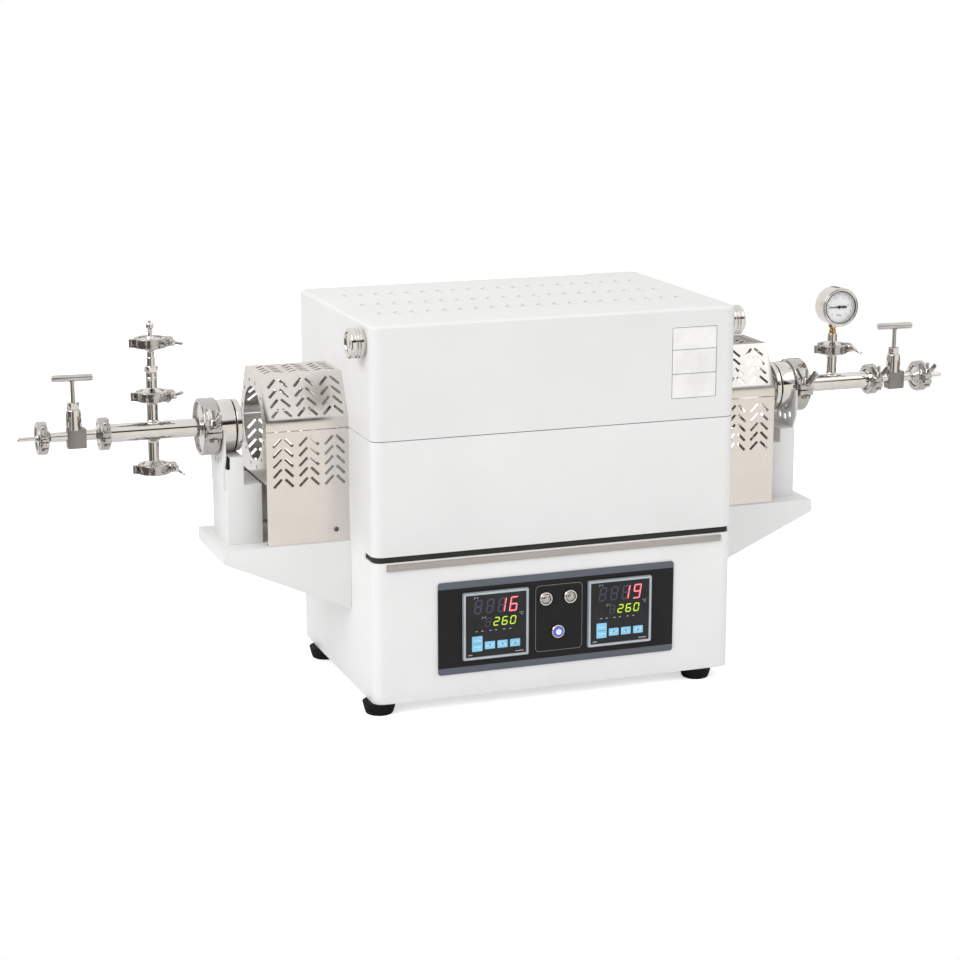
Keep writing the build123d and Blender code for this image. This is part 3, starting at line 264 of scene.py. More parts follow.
def block(width, depth, height, bevel):
    """Bevelled block about the origin, standing on z 0."""
    return slab(rounded_rectangle(width, depth, 0.01, 1)[::2], height, bevel)


def polygon(radius, sides, turn=0.0):
    """Outline of a regular polygon."""
    step = 2 * math.pi / sides
    return [(radius * math.cos(turn + i * step), radius * math.sin(turn + i * step)) for i in range(sides)]


def hex_nut(radius, height):
    """Hexagonal nut with its corners turned down."""
    bm = slab(polygon(radius, 6), height, 0.35, 2)
    return bm


def from_node(node, material, bevel=0.0, name=None, segments=2):
    """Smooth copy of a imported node, its seams merged and its sheet edges broken."""
    bm = bmesh.new()
    bm.from_mesh(frame["nodes"][node].data)
    bmesh.ops.remove_doubles(bm, verts=bm.verts, dist=2e-6)
    bmesh.ops.dissolve_limit(
        bm, angle_limit=math.radians(0.4), verts=bm.verts, edges=bm.edges, use_dissolve_boundaries=False
    )
    if bevel:
        edges = [
            e for e in bm.edges if len(e.link_faces) == 2 and e.calc_face_angle(0.0) > math.radians(40)
        ]
        bmesh.ops.bevel(
            bm,
            geom=edges,
            offset=bevel * MM,
            segments=segments,
            affect="EDGES",
            profile=0.6,
            clamp_overlap=True,
        )
    shade(bm)
    mesh = bpy.data.meshes.new(name or f"{node}_dressed")
    bm.to_mesh(mesh)
    bm.free()
    body = next(b for b, nodes in frame["record"]["behaviour"]["bodies"].items() if node in nodes)
    return place(mesh, mesh.name, material, body, [node])


def text_mesh(words, size, matrix, slant=0.0):
    """Flat lettering as a mesh in millimetres, placed by a matrix."""
    curve = bpy.data.curves.new("letters", "FONT")
    curve.body = words
    curve.size = size
    curve.align_x = "CENTER"
    curve.align_y = "CENTER"
    curve.shear = slant
    curve.resolution_u = 4
    carrier = bpy.data.objects.new("letters", curve)
    bpy.context.scene.collection.objects.link(carrier)
    graph = bpy.context.evaluated_depsgraph_get()
    mesh = bpy.data.meshes.new_from_object(carrier.evaluated_get(graph))
    bm = bmesh.new()
    bm.from_mesh(mesh)
    bmesh.ops.transform(bm, matrix=matrix, verts=bm.verts)
    bpy.data.objects.remove(carrier)
    bpy.data.curves.remove(curve)
    bpy.data.meshes.remove(mesh)
    return bm


# ---------------------------------------------------------------- geometry node trees


def node_tree(name, inputs):
    """Empty geometry tree with named inputs and its own group input and output nodes."""
    tree = bpy.data.node_groups.new(name, "GeometryNodeTree")
    tree.interface.new_socket("Geometry", in_out="INPUT", socket_type="NodeSocketGeometry")
    for label, kind in inputs:
        tree.interface.new_socket(label, in_out="INPUT", socket_type=kind)
    tree.interface.new_socket("Geometry", in_out="OUTPUT", socket_type="NodeSocketGeometry")
    return tree, tree.nodes.new("NodeGroupInput"), tree.nodes.new("NodeGroupOutput")


def repeat_tree():
    """Tree that sets one piece on every point, turned by the point's own angles and size."""
    inputs = [("Piece", "NodeSocketObject"), ("Finish", "NodeSocketMaterial"), ("Size", "NodeSocketFloat")]
    tree, given, result = node_tree("Repeat piece", inputs)
    piece = tree.nodes.new("GeometryNodeObjectInfo")
    turn = tree.nodes.new("GeometryNodeInputNamedAttribute")
    turn.data_type = "FLOAT_VECTOR"
    turn.inputs["Name"].default_value = "turn"
    stretch = tree.nodes.new("GeometryNodeInputNamedAttribute")
    stretch.data_type = "FLOAT_VECTOR"
    stretch.inputs["Name"].default_value = "stretch"
    sized = tree.nodes.new("ShaderNodeVectorMath")
    sized.operation = "SCALE"
    rotation = tree.nodes.new("FunctionNodeEulerToRotation")
    instances = tree.nodes.new("GeometryNodeInstanceOnPoints")
    real = tree.nodes.new("GeometryNodeRealizeInstances")
    painted = tree.nodes.new("GeometryNodeSetMaterial")
    link = tree.links.new
    link(given.outputs["Piece"], piece.inputs["Object"])
    link(given.outputs["Geometry"], instances.inputs["Points"])
    link(piece.outputs["Geometry"], instances.inputs["Instance"])
    link(turn.outputs["Attribute"], rotation.inputs[0])
    link(rotation.outputs[0], instances.inputs["Rotation"])
    link(stretch.outputs["Attribute"], sized.inputs[0])
    link(given.outputs["Size"], sized.inputs["Scale"])
    link(sized.outputs[0], instances.inputs["Scale"])
    link(instances.outputs["Instances"], real.inputs["Geometry"])
    link(real.outputs["Geometry"], painted.inputs["Geometry"])
    link(given.outputs["Finish"], painted.inputs["Material"])
    link(painted.outputs["Geometry"], result.inputs["Geometry"])
    return tree


def coil_tree():
    """Tree that winds a wire into a straight coil about local z."""
    inputs = [
        ("Turns", "NodeSocketFloat"),
        ("Coil radius", "NodeSocketFloat"),
        ("Length", "NodeSocketFloat"),
        ("Wire radius", "NodeSocketFloat"),
        ("Finish", "NodeSocketMaterial"),
    ]
    tree, given, result = node_tree("Wind coil", inputs)
    spiral = tree.nodes.new("GeometryNodeCurveSpiral")
    spiral.inputs["Resolution"].default_value = 12
    wire = tree.nodes.new("GeometryNodeCurvePrimitiveCircle")
    wire.inputs["Resolution"].default_value = 6
    swept = tree.nodes.new("GeometryNodeCurveToMesh")
    swept.inputs["Fill Caps"].default_value = True
    painted = tree.nodes.new("GeometryNodeSetMaterial")
    link = tree.links.new
    link(given.outputs["Turns"], spiral.inputs["Rotations"])
    link(given.outputs["Coil radius"], spiral.inputs["Start Radius"])
    link(given.outputs["Coil radius"], spiral.inputs["End Radius"])
    link(given.outputs["Length"], spiral.inputs["Height"])
    link(given.outputs["Wire radius"], wire.inputs["Radius"])
    link(spiral.outputs["Curve"], swept.inputs["Curve"])
    link(wire.outputs["Curve"], swept.inputs["Profile Curve"])
    link(swept.outputs["Mesh"], painted.inputs["Geometry"])
    link(given.outputs["Finish"], painted.inputs["Material"])
    link(painted.outputs["Geometry"], result.inputs["Geometry"])
    return tree


def evaluated(base, tree, values):
    """Plain mesh that a tree makes from a base mesh, with the named inputs set first."""
    carrier = bpy.data.objects.new("carrier", base)
    bpy.context.scene.collection.objects.link(carrier)
    modifier = carrier.modifiers.new("tree", "NODES")
    modifier.node_group = tree
    sockets = {s.name: s.identifier for s in tree.interface.items_tree if s.in_out == "INPUT"}
    for label, value in values.items():
        modifier[sockets[label]] = value
    carrier.update_tag()
    graph = bpy.context.evaluated_depsgraph_get()
    mesh = bpy.data.meshes.new_from_object(carrier.evaluated_get(graph))
    carrier.modifiers.clear()
    bpy.data.objects.remove(carrier)
    return mesh


def repeated(name, bm, spots, material, body, replaces=()):
    """One piece from a mesh repeated at (place, angles, stretch) spots, all in millimetres."""
    shade(bm)
    source_mesh = bpy.data.meshes.new("source")
    bm.to_mesh(source_mesh)
    bm.free()
    source = bpy.data.objects.new("source", source_mesh)
    bpy.context.scene.collection.objects.link(source)
    base = bpy.data.meshes.new("spots")
    base.from_pydata([Vector(spot[0]) * MM for spot in spots], [], [])
    turn = base.attributes.new("turn", "FLOAT_VECTOR", "POINT")
    stretch = base.attributes.new("stretch", "FLOAT_VECTOR", "POINT")
    for index, spot in enumerate(spots):
        turn.data[index].vector = spot[1]
        stretch.data[index].vector = spot[2] if len(spot) > 2 else (1, 1, 1)
    mesh = evaluated(base, TREES["repeat"], {"Piece": source, "Finish": material, "Size": MM})
    mesh.name = name
    for attribute in ("turn", "stretch"):
        if attribute in mesh.attributes:
            mesh.attributes.remove(mesh.attributes[attribute])
    bpy.data.objects.remove(source)
    return place(mesh, name, None, body, replaces)


# ---------------------------------------------------------------- shader building


class Value:
    """A shader socket that takes Python's operators."""

    def __init__(self, tree, socket):
        self.tree = tree
        self.socket = socket

    def _math(self, operation, other=None, swap=False):
        node = self.tree.nodes.new("ShaderNodeMath")
        node.operation = operation
        pair = [self, other] if other is not None else [self]
        for slot, item in zip(node.inputs, reversed(pair) if swap else pair):
            if isinstance(item, Value):
                self.tree.links.new(item.socket, slot)
            else:
                slot.default_value = item
        return Value(self.tree, node.outputs[0])

    def __add__(self, other):
        return self._math("ADD", other)

    __radd__ = __add__

    def __sub__(self, other):
        return self._math("SUBTRACT", other)

    def __rsub__(self, other):
        return self._math("SUBTRACT", other, swap=True)

    def __mul__(self, other):
        return self._math("MULTIPLY", other)

    __rmul__ = __mul__

    def __truediv__(self, other):
        return self._math("DIVIDE", other)

    def __gt__(self, other):
        return self._math("GREATER_THAN", other)

    def __lt__(self, other):
        return self._math("LESS_THAN", other)

    def absolute(self):
        """Distance of the value from nought."""
        return self._math("ABSOLUTE")


class Finish:
    """A material under construction: its principled shader and its pattern nodes."""

    def __init__(self, name, **sockets):
        self.material = bpy.data.materials.new(name)
        self.material.use_nodes = True
        self.tree = self.material.node_tree
        self.shader = self.tree.nodes["Principled BSDF"]
        place_node = self.tree.nodes.new("ShaderNodeTexCoord")
        self.place = Value(self.tree, place_node.outputs["Object"])
        for label, value in sockets.items():
            self.shader.inputs[label.replace("_", " ")].default_value = value

    def node(self, kind, settings=None, output=0, **inputs):
        """Any node: its settings first, then values or links for its sockets."""
        made = self.tree.nodes.new(kind)
        for key, value in (settings or {}).items():
            setattr(made, key, value)
        for label, value in inputs.items():
            slot = made.inputs[int(label[1:])] if label[0] == "i" and label[1:].isdigit() else None
            slot = slot or made.inputs[label.replace("_", " ")]
            if isinstance(value, Value):
                self.tree.links.new(value.socket, slot)
            else:
                slot.default_value = value
        return Value(self.tree, made.outputs[output])

    def axes(self):
        """The object coordinates' three parts, in millimetres."""
        split = self.tree.nodes.new("ShaderNodeSeparateXYZ")
        self.tree.links.new(self.place.socket, split.inputs[0])
        return [Value(self.tree, split.outputs[i]) / MM for i in range(3)]

    def grain(self, scale, stretch=(1, 1, 1), detail=2.0, rough=0.5):
        """Noise over the surface, drawn out along the axes with a small stretch."""
        mapped = self.node("ShaderNodeMapping", Vector=self.place, Scale=stretch)
        settings = {"noise_dimensions": "3D"}
        return self.node(
            "ShaderNodeTexNoise", settings, Vector=mapped, Scale=scale, Detail=detail, Roughness=rough
        )

    def ramp(self, value, low_in, high_in, low_out, high_out):
        """A value carried from one range to another and held at its ends."""
        return self.node(
            "ShaderNodeMapRange",
            {"clamp": True},
            Value=value,
            From_Min=low_in,
            From_Max=high_in,
            To_Min=low_out,
            To_Max=high_out,
        )

    def mix(self, factor, first, second):
        """Two colours mixed by a factor."""
        return self.node(
            "ShaderNodeMix", {"data_type": "RGBA"}, 2, i0=factor, i6=first, i7=second
        )

    def bump(self, height, distance, strength=1.0):
        """Relief of the surface, in millimetres."""
        relief = self.node(
            "ShaderNodeBump", None, 0, Height=height, Distance=distance * MM, Strength=strength
        )
        self.set("Normal", relief)

    def set(self, label, value):
        """Drive a socket of the shader."""
        self.tree.links.new(value.socket, self.shader.inputs[label])


def linear(red, green, blue):
    """Colour written as on a screen, from 0 to 255, as the shader takes it."""
    parts = []
    for part in (red, green, blue):
        share = part / 255
        parts.append(share / 12.92 if share <= 0.04045 else ((share + 0.055) / 1.055) ** 2.4)
    return (*parts, 1.0)


def scaled(color, share):
    """Colour with its three parts scaled."""
    return (*(part * share for part in color[:3]), 1.0)


def powder_coat(name, color):
    """White powder coat: fine orange peel and a little uneven gloss."""
    finish_ = Finish(name, Roughness=0.4, Specular_IOR_Level=0.45)
    clouds = finish_.grain(9.0, detail=3.0)
    peel = finish_.grain(520.0, detail=1.0)
    darker = scaled(color, 0.97)
    finish_.set("Base Color", finish_.mix(finish_.ramp(clouds, 0.35, 0.65, 0.0, 1.0), color, darker))
    finish_.set("Roughness", finish_.ramp(clouds, 0.3, 0.7, 0.36, 0.46))
    finish_.bump(peel, 0.05, 0.25)
    return finish_.material


def brushed_steel(name, color, stretch, rough=(0.16, 0.27), depth=0.004):
    """Stainless sheet with fine scratches drawn out along one way."""
    finish_ = Finish(name, Metallic=1.0)
    scratches = finish_.grain(1800.0, stretch, 3.0, 0.6)
    clouds = finish_.grain(14.0, detail=3.0)
    darker = scaled(color, 0.93)
    shade_ = finish_.ramp(scratches * 0.55 + clouds * 0.45, 0.35, 0.65, 0.0, 1.0)
    finish_.set("Base Color", finish_.mix(shade_, color, darker))
    finish_.set("Roughness", finish_.ramp(scratches * 0.6 + clouds * 0.4, 0.35, 0.65, *rough))
    finish_.bump(scratches, depth, 0.6)
    return finish_.material


def polished_steel(name, color, rough=(0.04, 0.11), ripple=0.0):
    """Polished stainless: near mirror, with faint wiping marks and a casting's ripple if asked."""
    finish_ = Finish(name, Metallic=1.0)
    clouds = finish_.grain(45.0, detail=3.0)
    marks = finish_.grain(900.0, (0.3, 1, 1), 3.0, 0.6)
    darker = scaled(color, 0.9)
    finish_.set("Base Color", finish_.mix(finish_.ramp(clouds, 0.35, 0.65, 0.0, 1.0), color, darker))
    finish_.set("Roughness", finish_.ramp(clouds * 0.6 + marks * 0.4, 0.35, 0.65, *rough))
    if ripple:
        finish_.bump(finish_.grain(110.0, detail=2.0), ripple, 1.0)
    else:
        finish_.bump(marks, 0.004, 0.4)
    return finish_.material


def moulded(name, color, rough=0.45, grain=0.02, sheen=0.3):
    """Moulded plastic or rubber with a fine matt grain."""
    finish_ = Finish(name, Roughness=rough, Specular_IOR_Level=sheen)
    fine = finish_.grain(1100.0, detail=2.0)
    clouds = finish_.grain(30.0, detail=2.0)
    lighter = tuple(min(1.0, part * 1.12 + 0.004) for part in color[:3]) + (1.0,)
    finish_.set("Base Color", finish_.mix(finish_.ramp(clouds, 0.35, 0.65, 0.0, 1.0), color, lighter))
    finish_.set("Roughness", finish_.ramp(fine, 0.3, 0.7, rough - 0.06, rough + 0.06))
    finish_.bump(fine, grain, 0.5)
    return finish_.material


def pressed_fibre(name, color):
    """Pressed ceramic fibre: chalky, with matted strands."""
    finish_ = Finish(name, Roughness=0.9)
    strands = finish_.grain(260.0, (1, 0.35, 1), 5.0, 0.7)
    clouds = finish_.grain(18.0, detail=4.0)
    warmer = (color[0] * 0.93, color[1] * 0.9, color[2] * 0.84, 1.0)
    matted = finish_.ramp(clouds * 0.6 + strands * 0.4, 0.35, 0.7, 0.0, 1.0)
    finish_.set("Base Color", finish_.mix(matted, color, warmer))
    finish_.bump(strands, 0.4, 0.7)
    return finish_.material


def glowing(name, color, strength, base):
    """Lit segments or a lit lens, whiter in cloudy patches of the diffuser."""
    finish_ = Finish(name, Base_Color=base, Roughness=0.35, Emission_Strength=strength)
    clouds = finish_.grain(300.0)
    whiter = tuple(min(1.0, part * 0.8 + 0.2) for part in color[:3]) + (1.0,)
    finish_.set("Emission Color", finish_.mix(finish_.ramp(clouds, 0.4, 0.6, 0.0, 0.35), color, whiter))
    return finish_.material


def clear(name, color, rough, face_on, grazing):
    """Clear glass or fused quartz: thin wall, stronger at its edges, with faint drawing lines."""
    finish_ = Finish(name, Base_Color=color, Roughness=rough)
    lines = finish_.grain(160.0, (0.04, 1, 1), 2.0)
    facing = finish_.node("ShaderNodeLayerWeight", None, 1, Blend=0.25)
    finish_.set("Alpha", finish_.ramp(facing, 0.1, 1.0, face_on, grazing))
    finish_.set("Roughness", finish_.ramp(lines, 0.3, 0.7, rough * 0.5, rough * 1.5))
    return finish_.material


def printed_panel(name, settings):
    """Dark panel film with a slate band along its top and bottom edges."""
    finish_ = Finish(name, Roughness=0.35, Specular_IOR_Level=0.2)
    _, _, height = finish_.axes()
    distance = (height - middle("control_panel", "z")).absolute()
    half = (high("control_panel", "z") - low("control_panel", "z")) / 2
    band = distance > (half - settings.band_height / MM)
    fine = finish_.grain(900.0)
    clouds = finish_.grain(20.0)
    dark = finish_.mix(clouds, (*settings.panel_color, 1.0), scaled(settings.panel_color, 1.25))
    finish_.set("Base Color", finish_.mix(band, dark, (*settings.band_color, 1.0)))
    finish_.set("Roughness", finish_.ramp(fine, 0.3, 0.7, 0.3, 0.4))
    finish_.bump(fine, 0.01, 0.4)
    return finish_.material


FINISHES = {}
TREES = {}


def make_finishes(settings):
    """Every finish of the furnace, by its plain name."""
    white = (*settings.body_color, 1.0)
    steel = (*settings.steel_color, 1.0)
    sheet = (*settings.sheet_color, 1.0)
    FINISHES.update(
        paint=powder_coat("white powder coat", white),
        panel=printed_panel("panel film", settings),
        sheet_long=brushed_steel("brushed sheet", sheet, (0.03, 1, 1)),
        strip=brushed_steel("brushed strip", scaled(sheet, 0.58), (0.03, 1, 1)),
        cast=polished_steel("cast stainless", scaled(steel, 0.72), (0.07, 0.16), 1.2),
        polished=polished_steel("polished stainless", steel),
        turned=polished_steel("turned stainless", scaled(steel, 0.8), (0.16, 0.28)),
        # Satin steel for the valve blocks. Its colour is darkened well below the other steels as painted
        # shade, standing in for the dark reflection on the blocks' faces.
        satin=brushed_steel("satin valve body", scaled(steel, 0.4), (0.2, 1, 1), (0.3, 0.42)),
        dark_steel=brushed_steel("screw steel", linear(120, 118, 114), (1, 1, 1), (0.3, 0.45)),
        aluminium=brushed_steel("extruded aluminium", linear(190, 190, 192), (1, 0.05, 1), (0.35, 0.5)),
        brass=polished_steel("turned brass", linear(205, 165, 95), (0.14, 0.26)),
        face_film=moulded("display film", linear(30, 30, 32), 0.24, 0.004),
        bezel=moulded("slate moulding", linear(138, 147, 154), 0.3),
        # Pale rings on the controllers' bezels: painted highlight along the bezel edges.
        bright_line=moulded("bright edge", linear(214, 220, 224), 0.3, 0.002),
        grey_print=moulded("grey print", linear(128, 130, 134), 0.5, 0.002),
        faint_ink=moulded("faint ink", linear(150, 152, 156), 0.5, 0.002),
        relay=moulded("relay moulding", linear(205, 202, 194), 0.5),
        rubber=moulded("rubber", linear(17, 17, 18), 0.66, 0.05, 0.12),
        board=moulded("heat-proof board", linear(46, 46, 40), 0.7, 0.05),
        fibre=pressed_fibre("ceramic fibre", linear(238, 234, 224)),
        heater=brushed_steel("oxidised wire", linear(96, 84, 76), (1, 1, 1), (0.5, 0.7)),
        quartz=clear("fused quartz", linear(236, 242, 244), 0.03, 0.03, 0.35),
        glass=clear("gauge glass", linear(250, 250, 250), 0.02, 0.02, 0.3),
        silicone=moulded("seal rubber", linear(44, 40, 38), 0.5),
        dial=moulded("white enamel", linear(240, 241, 240), 0.4, 0.004),
        # Black for print and the gauge needle, and also the painted shade in the screw slots.
        ink=moulded("black ink", linear(24, 24, 26), 0.5, 0.002),
        pale_print=moulded("pale print", linear(176, 178, 180), 0.5, 0.002),
        key=moulded("membrane key", linear(138, 200, 232), 0.4, 0.01),
        key_mark=moulded("key mark", linear(52, 96, 132), 0.5, 0.002),
        key_light=moulded("key print", linear(196, 228, 242), 0.5, 0.002),
        label=moulded("label film", linear(236, 235, 234), 0.45, 0.006),
        dim=moulded("unlit segment", linear(66, 66, 84), 0.4, 0.002),
        red=glowing("red segment", linear(255, 30, 66), 1.0, linear(120, 10, 20)),
        red_core=glowing("red segment core", linear(255, 178, 190), 1.0, linear(160, 60, 70)),
        green=glowing("yellow-green segment", linear(208, 250, 20), 0.95, linear(60, 80, 5)),
        lit_mark=glowing("lit mark", linear(244, 248, 255), 1.0, linear(220, 230, 255)),
        lit_lens=glowing("lit lens", linear(150, 166, 240), 0.9, linear(140, 150, 220)),
        lit_ring=glowing("lit ring", linear(84, 92, 190), 0.6, linear(60, 66, 150)),
    )


# ---------------------------------------------------------------- settings


def colour_setting(label, text, value):
    """A colour that a user can change."""
    return FloatVectorProperty(
        name=label, description=text, subtype="COLOR", size=3, min=0.0, max=1.0, default=value
    )


def length_setting(label, text, value):
    """A length that a user can change, in metres."""
    return FloatProperty(name=label, description=text, unit="LENGTH", default=value)


def count_setting(label, text, fewest, most, value):
    """A whole number that a user can change."""
    return IntProperty(name=label, description=text, min=fewest, max=most, default=value)


class FurnaceSettings(bpy.types.PropertyGroup):
    """Sizes and colours of the furnace that a user would change."""

    body_color: colour_setting(
        "Body colour", "Powder coat of the housing, shelves and posts", (0.83, 0.83, 0.825)
    )
    steel_color: colour_setting(
        "Polished steel colour", "Turned and polished stainless of the gas lines", (0.74, 0.715, 0.685)
    )
    sheet_color: colour_setting(
        "Sheet steel colour", "Brushed stainless of the guards and plates", (0.77, 0.735, 0.70)
    )
    panel_color: colour_setting(
        "Panel colour", "Dark part of the control panel's film", (0.0105, 0.0102, 0.01)
    )
    band_color: colour_setting("Band colour", "Slate bands along the control panel", (0.115, 0.127, 0.152))
    band_height: length_setting("Band height", "Height of each slate band on the control panel", 0.0095)
    digit_height: length_setting("Digit height", "Height of the measured value's digits", 0.0205)
    turn_segments: count_setting("Turning segments", "Facets round a large turned piece", 24, 160, 96)
    dial_ticks: count_setting("Dial ticks", "Fine divisions on the gauge's dial", 10, 120, 50)
    coil_turns: count_setting("Coil turns", "Turns of each heating coil", 10, 150, 60)
    floor_color: colour_setting("Floor colour", "Pale studio floor", (0.86, 0.86, 0.86))


def settings():
    """The scene's furnace settings."""
    return bpy.context.scene.furnace


# ---------------------------------------------------------------- housing


class FURNACE_OT_housing(bpy.types.Operator):
    """Sheet-metal housing: cabinet, lower half, lid, floor, shelves and posts"""

    bl_idname = "furnace.housing"
    bl_label = "Housing"

    def execute(self, context):
        paint = FINISHES["paint"]
        for node, edge in (
            ("base_housing", 0.8),
            ("lower_shell", 0.6),
            ("lid_shell", 0.0),
            ("bottom_plate", 0.4),
            ("side_brackets", 0.9),
            ("flange_posts", 0.8),
            ("rear_cover", 0.3),
        ):
            from_node(node, paint, edge)
        from_node("spacer_board", FINISHES["board"], 0.5)
        from_node("trim_strip", FINISHES["strip"], 0.3)
        return {"FINISHED"}


class FURNACE_OT_feet(bpy.types.Operator):
    """Rubber feet with a ribbed waist and a screw recess"""

    bl_idname = "furnace.feet"
    bl_label = "Feet"

    def execute(self, context):
        top = high("rubber_feet", "z")
        reach = 23.5
        profile = [(6.0, 0.0), (6.0, 5.9), (0.0, 6.1), (0.0, 17.8), (1.6, 19.2), (6.0, 20.6)]
        profile += [(6.6, 20.1), (7.4, 21.2), (top - 3, 22.5)]
        profile += [(top - 0.6, reach), (top, reach - 1), (top, 0.0)]
        bm = lathe(profile, 64, 0.6)
        left, right = low("rubber_feet", "x") + reach, high("rubber_feet", "x") - reach
        front, back = low("rubber_feet", "y") + reach, high("rubber_feet", "y") - reach
        spots = [((x, y, 0), (0, 0, 0)) for x in (left, right) for y in (front, back)]
        repeated("feet", bm, spots, FINISHES["rubber"], "furnace", ["rubber_feet"])
        return {"FINISHED"}


class FURNACE_OT_label(bpy.types.Operator):
    """Bare three-field label plate on the lid's front"""

    bl_idname = "furnace.label"
    bl_label = "Label plate"

    def execute(self, context):
        left, right, bottom, top = 166.0, 235.0, 411.5, 512.7
        spot = facing_front((left + right) / 2, FRONT_Y, (bottom + top) / 2)
        plate = slab(rounded_rectangle(right - left, top - bottom, 1.5), 0.25, 0.08, 1)
        finish(join((plate, spot)), "label_plate", FINISHES["label"], "lid", ())
        line, rise = 0.8, 0.12
        wide, tall = right - left - 2.4, top - bottom - 2.4
        bars = [(0, tall / 2, wide, line), (0, -tall / 2, wide, line)]
        bars += [(-wide / 2, 0, line, tall), (wide / 2, 0, line, tall)]
        for height in (480.5, 446.7):
            bars.append((0, height - (bottom + top) / 2, wide, line))
        edge = slab([(-0.5, -0.5), (0.5, -0.5), (0.5, 0.5), (-0.5, 0.5)], rise)
        spots = []
        for x, y, width, height in bars:
            where = spot @ Vector((x, y, 0.25))
            spots.append((where, (math.pi / 2, 0, 0), (width, height, 1)))
        repeated("label_lines", edge, spots, FINISHES["grey_print"], "lid", ())
        return {"FINISHED"}


class FURNACE_OT_knobs(bpy.types.Operator):
    """Turned lid grips with two grooves and a dished end"""

    bl_idname = "furnace.knobs"
    bl_label = "Lid grips"

    def execute(self, context):
        length = high("lid_knobs", "x") - SIDE_X
        radius = (high("lid_knobs", "z") - low("lid_knobs", "z")) / 2
        seat = 3.0
        profile = [(0, 0), (0, 17.4), (seat, 17.4), (seat, radius - 1.0), (seat + 0.8, radius)]
        for share in (0.32, 0.55):
            at = seat + share * (length - seat)
            groove = radius - 1.5
            profile += [(at - 1.2, radius), (at - 0.6, groove), (at + 0.6, groove), (at + 1.2, radius)]
        profile += [(length - 1.2, radius), (length, radius - 1.2), (length, 15.6)]
        profile += [(length - 1.8, 14.2), (length - 1.8, 6.0), (length - 1.0, 5.2), (length - 1.0, 0)]
        bm = lathe(profile, 72, 0.4)
        spot = (SIDE_X, middle("lid_knobs", "y"), middle("lid_knobs", "z"))
        spots = [(spot, (0, math.pi / 2, 0)), ((-spot[0], spot[1], spot[2]), (0, -math.pi / 2, 0))]
        repeated("grips", bm, spots, FINISHES["polished"], "lid", ["lid_knobs"])
        return {"FINISHED"}


# ---------------------------------------------------------------- panel


SEGMENTS = {
    "0": "abcdef",
    "1": "bc",
    "2": "abged",
    "6": "acdefg",
    "8": "abcdefg",
    "9": "abcdfg",
}


def segment_bar(length, width):
    """One display segment with pointed ends, along local x."""
    tip = width / 2
    return [
        (-length / 2, 0),
        (-length / 2 + tip, tip),
        (length / 2 - tip, tip),
        (length / 2, 0),
        (length / 2 - tip, -tip),
        (-length / 2 + tip, -tip),
    ]


def digit_mesh(character, height, share, bar_share, slant=0.16):
    """A seven-segment digit as thin raised bars, standing on local y 0 and slanted."""
    width = height * share
    bar = height * bar_share
    gap = bar * 0.16
    across, up = width - bar, height / 2 - bar / 2
    places = {
        "a": (0, height - bar / 2, 0),
        "g": (0, height / 2, 0),
        "d": (0, bar / 2, 0),
        "f": (-across / 2, height * 0.75 - bar / 4, 1),
        "b": (across / 2, height * 0.75 - bar / 4, 1),
        "e": (-across / 2, height * 0.25 + bar / 4, 1),
        "c": (across / 2, height * 0.25 + bar / 4, 1),
    }
    parts = []
    for letter in SEGMENTS[character]:
        x, y, standing = places[letter]
        outline = segment_bar((up if standing else across) - gap, bar)
        if standing:
            outline = [(-py, px) for px, py in outline]
        outline = [(x + px + slant * (y + py), y + py) for px, py in outline]
        parts.append(slab(outline, 0.12))
    return join(*parts)


def number_mesh(characters, height, pitch, share=0.54, bar_share=0.115):
    """A row of digits, right-aligned at local x 0."""
    parts = []
    for place_, character in enumerate(reversed(characters)):
        if character != " ":
            shift = Matrix.Translation((-(place_ + 0.5) * pitch, 0, 0))
            parts.append((digit_mesh(character, height, share, bar_share), shift))
    return join(*parts)


class FURNACE_OT_panel(bpy.types.Operator):
    """Control panel film and the fine outline round its switches"""

    bl_idname = "furnace.panel"
    bl_label = "Control panel"

    def execute(self, context):
        from_node("control_panel", FINISHES["panel"], 0.35)
        face_y = low("control_panel", "y")
        width, height, line = 69.5, 95.0, 0.6
        outer = rounded_rectangle(width, height, 6.0, 6)
        inner = rounded_rectangle(width - 2 * line, height - 2 * line, 6.0 - line, 6)
        bm = bmesh.new()
        raised = 0.15
        levels = ((outer, 0), (outer, raised), (inner, raised), (inner, 0))
        wall_between(bm, [[bm.verts.new((x, y, z)) for x, y in shape] for shape, z in levels])
        spot = facing_front(1.7, face_y, 116.5)
        finish(
            join((bm, spot)), "switch_outline", FINISHES["grey_print"], "furnace", ()
        )
        return {"FINISHED"}


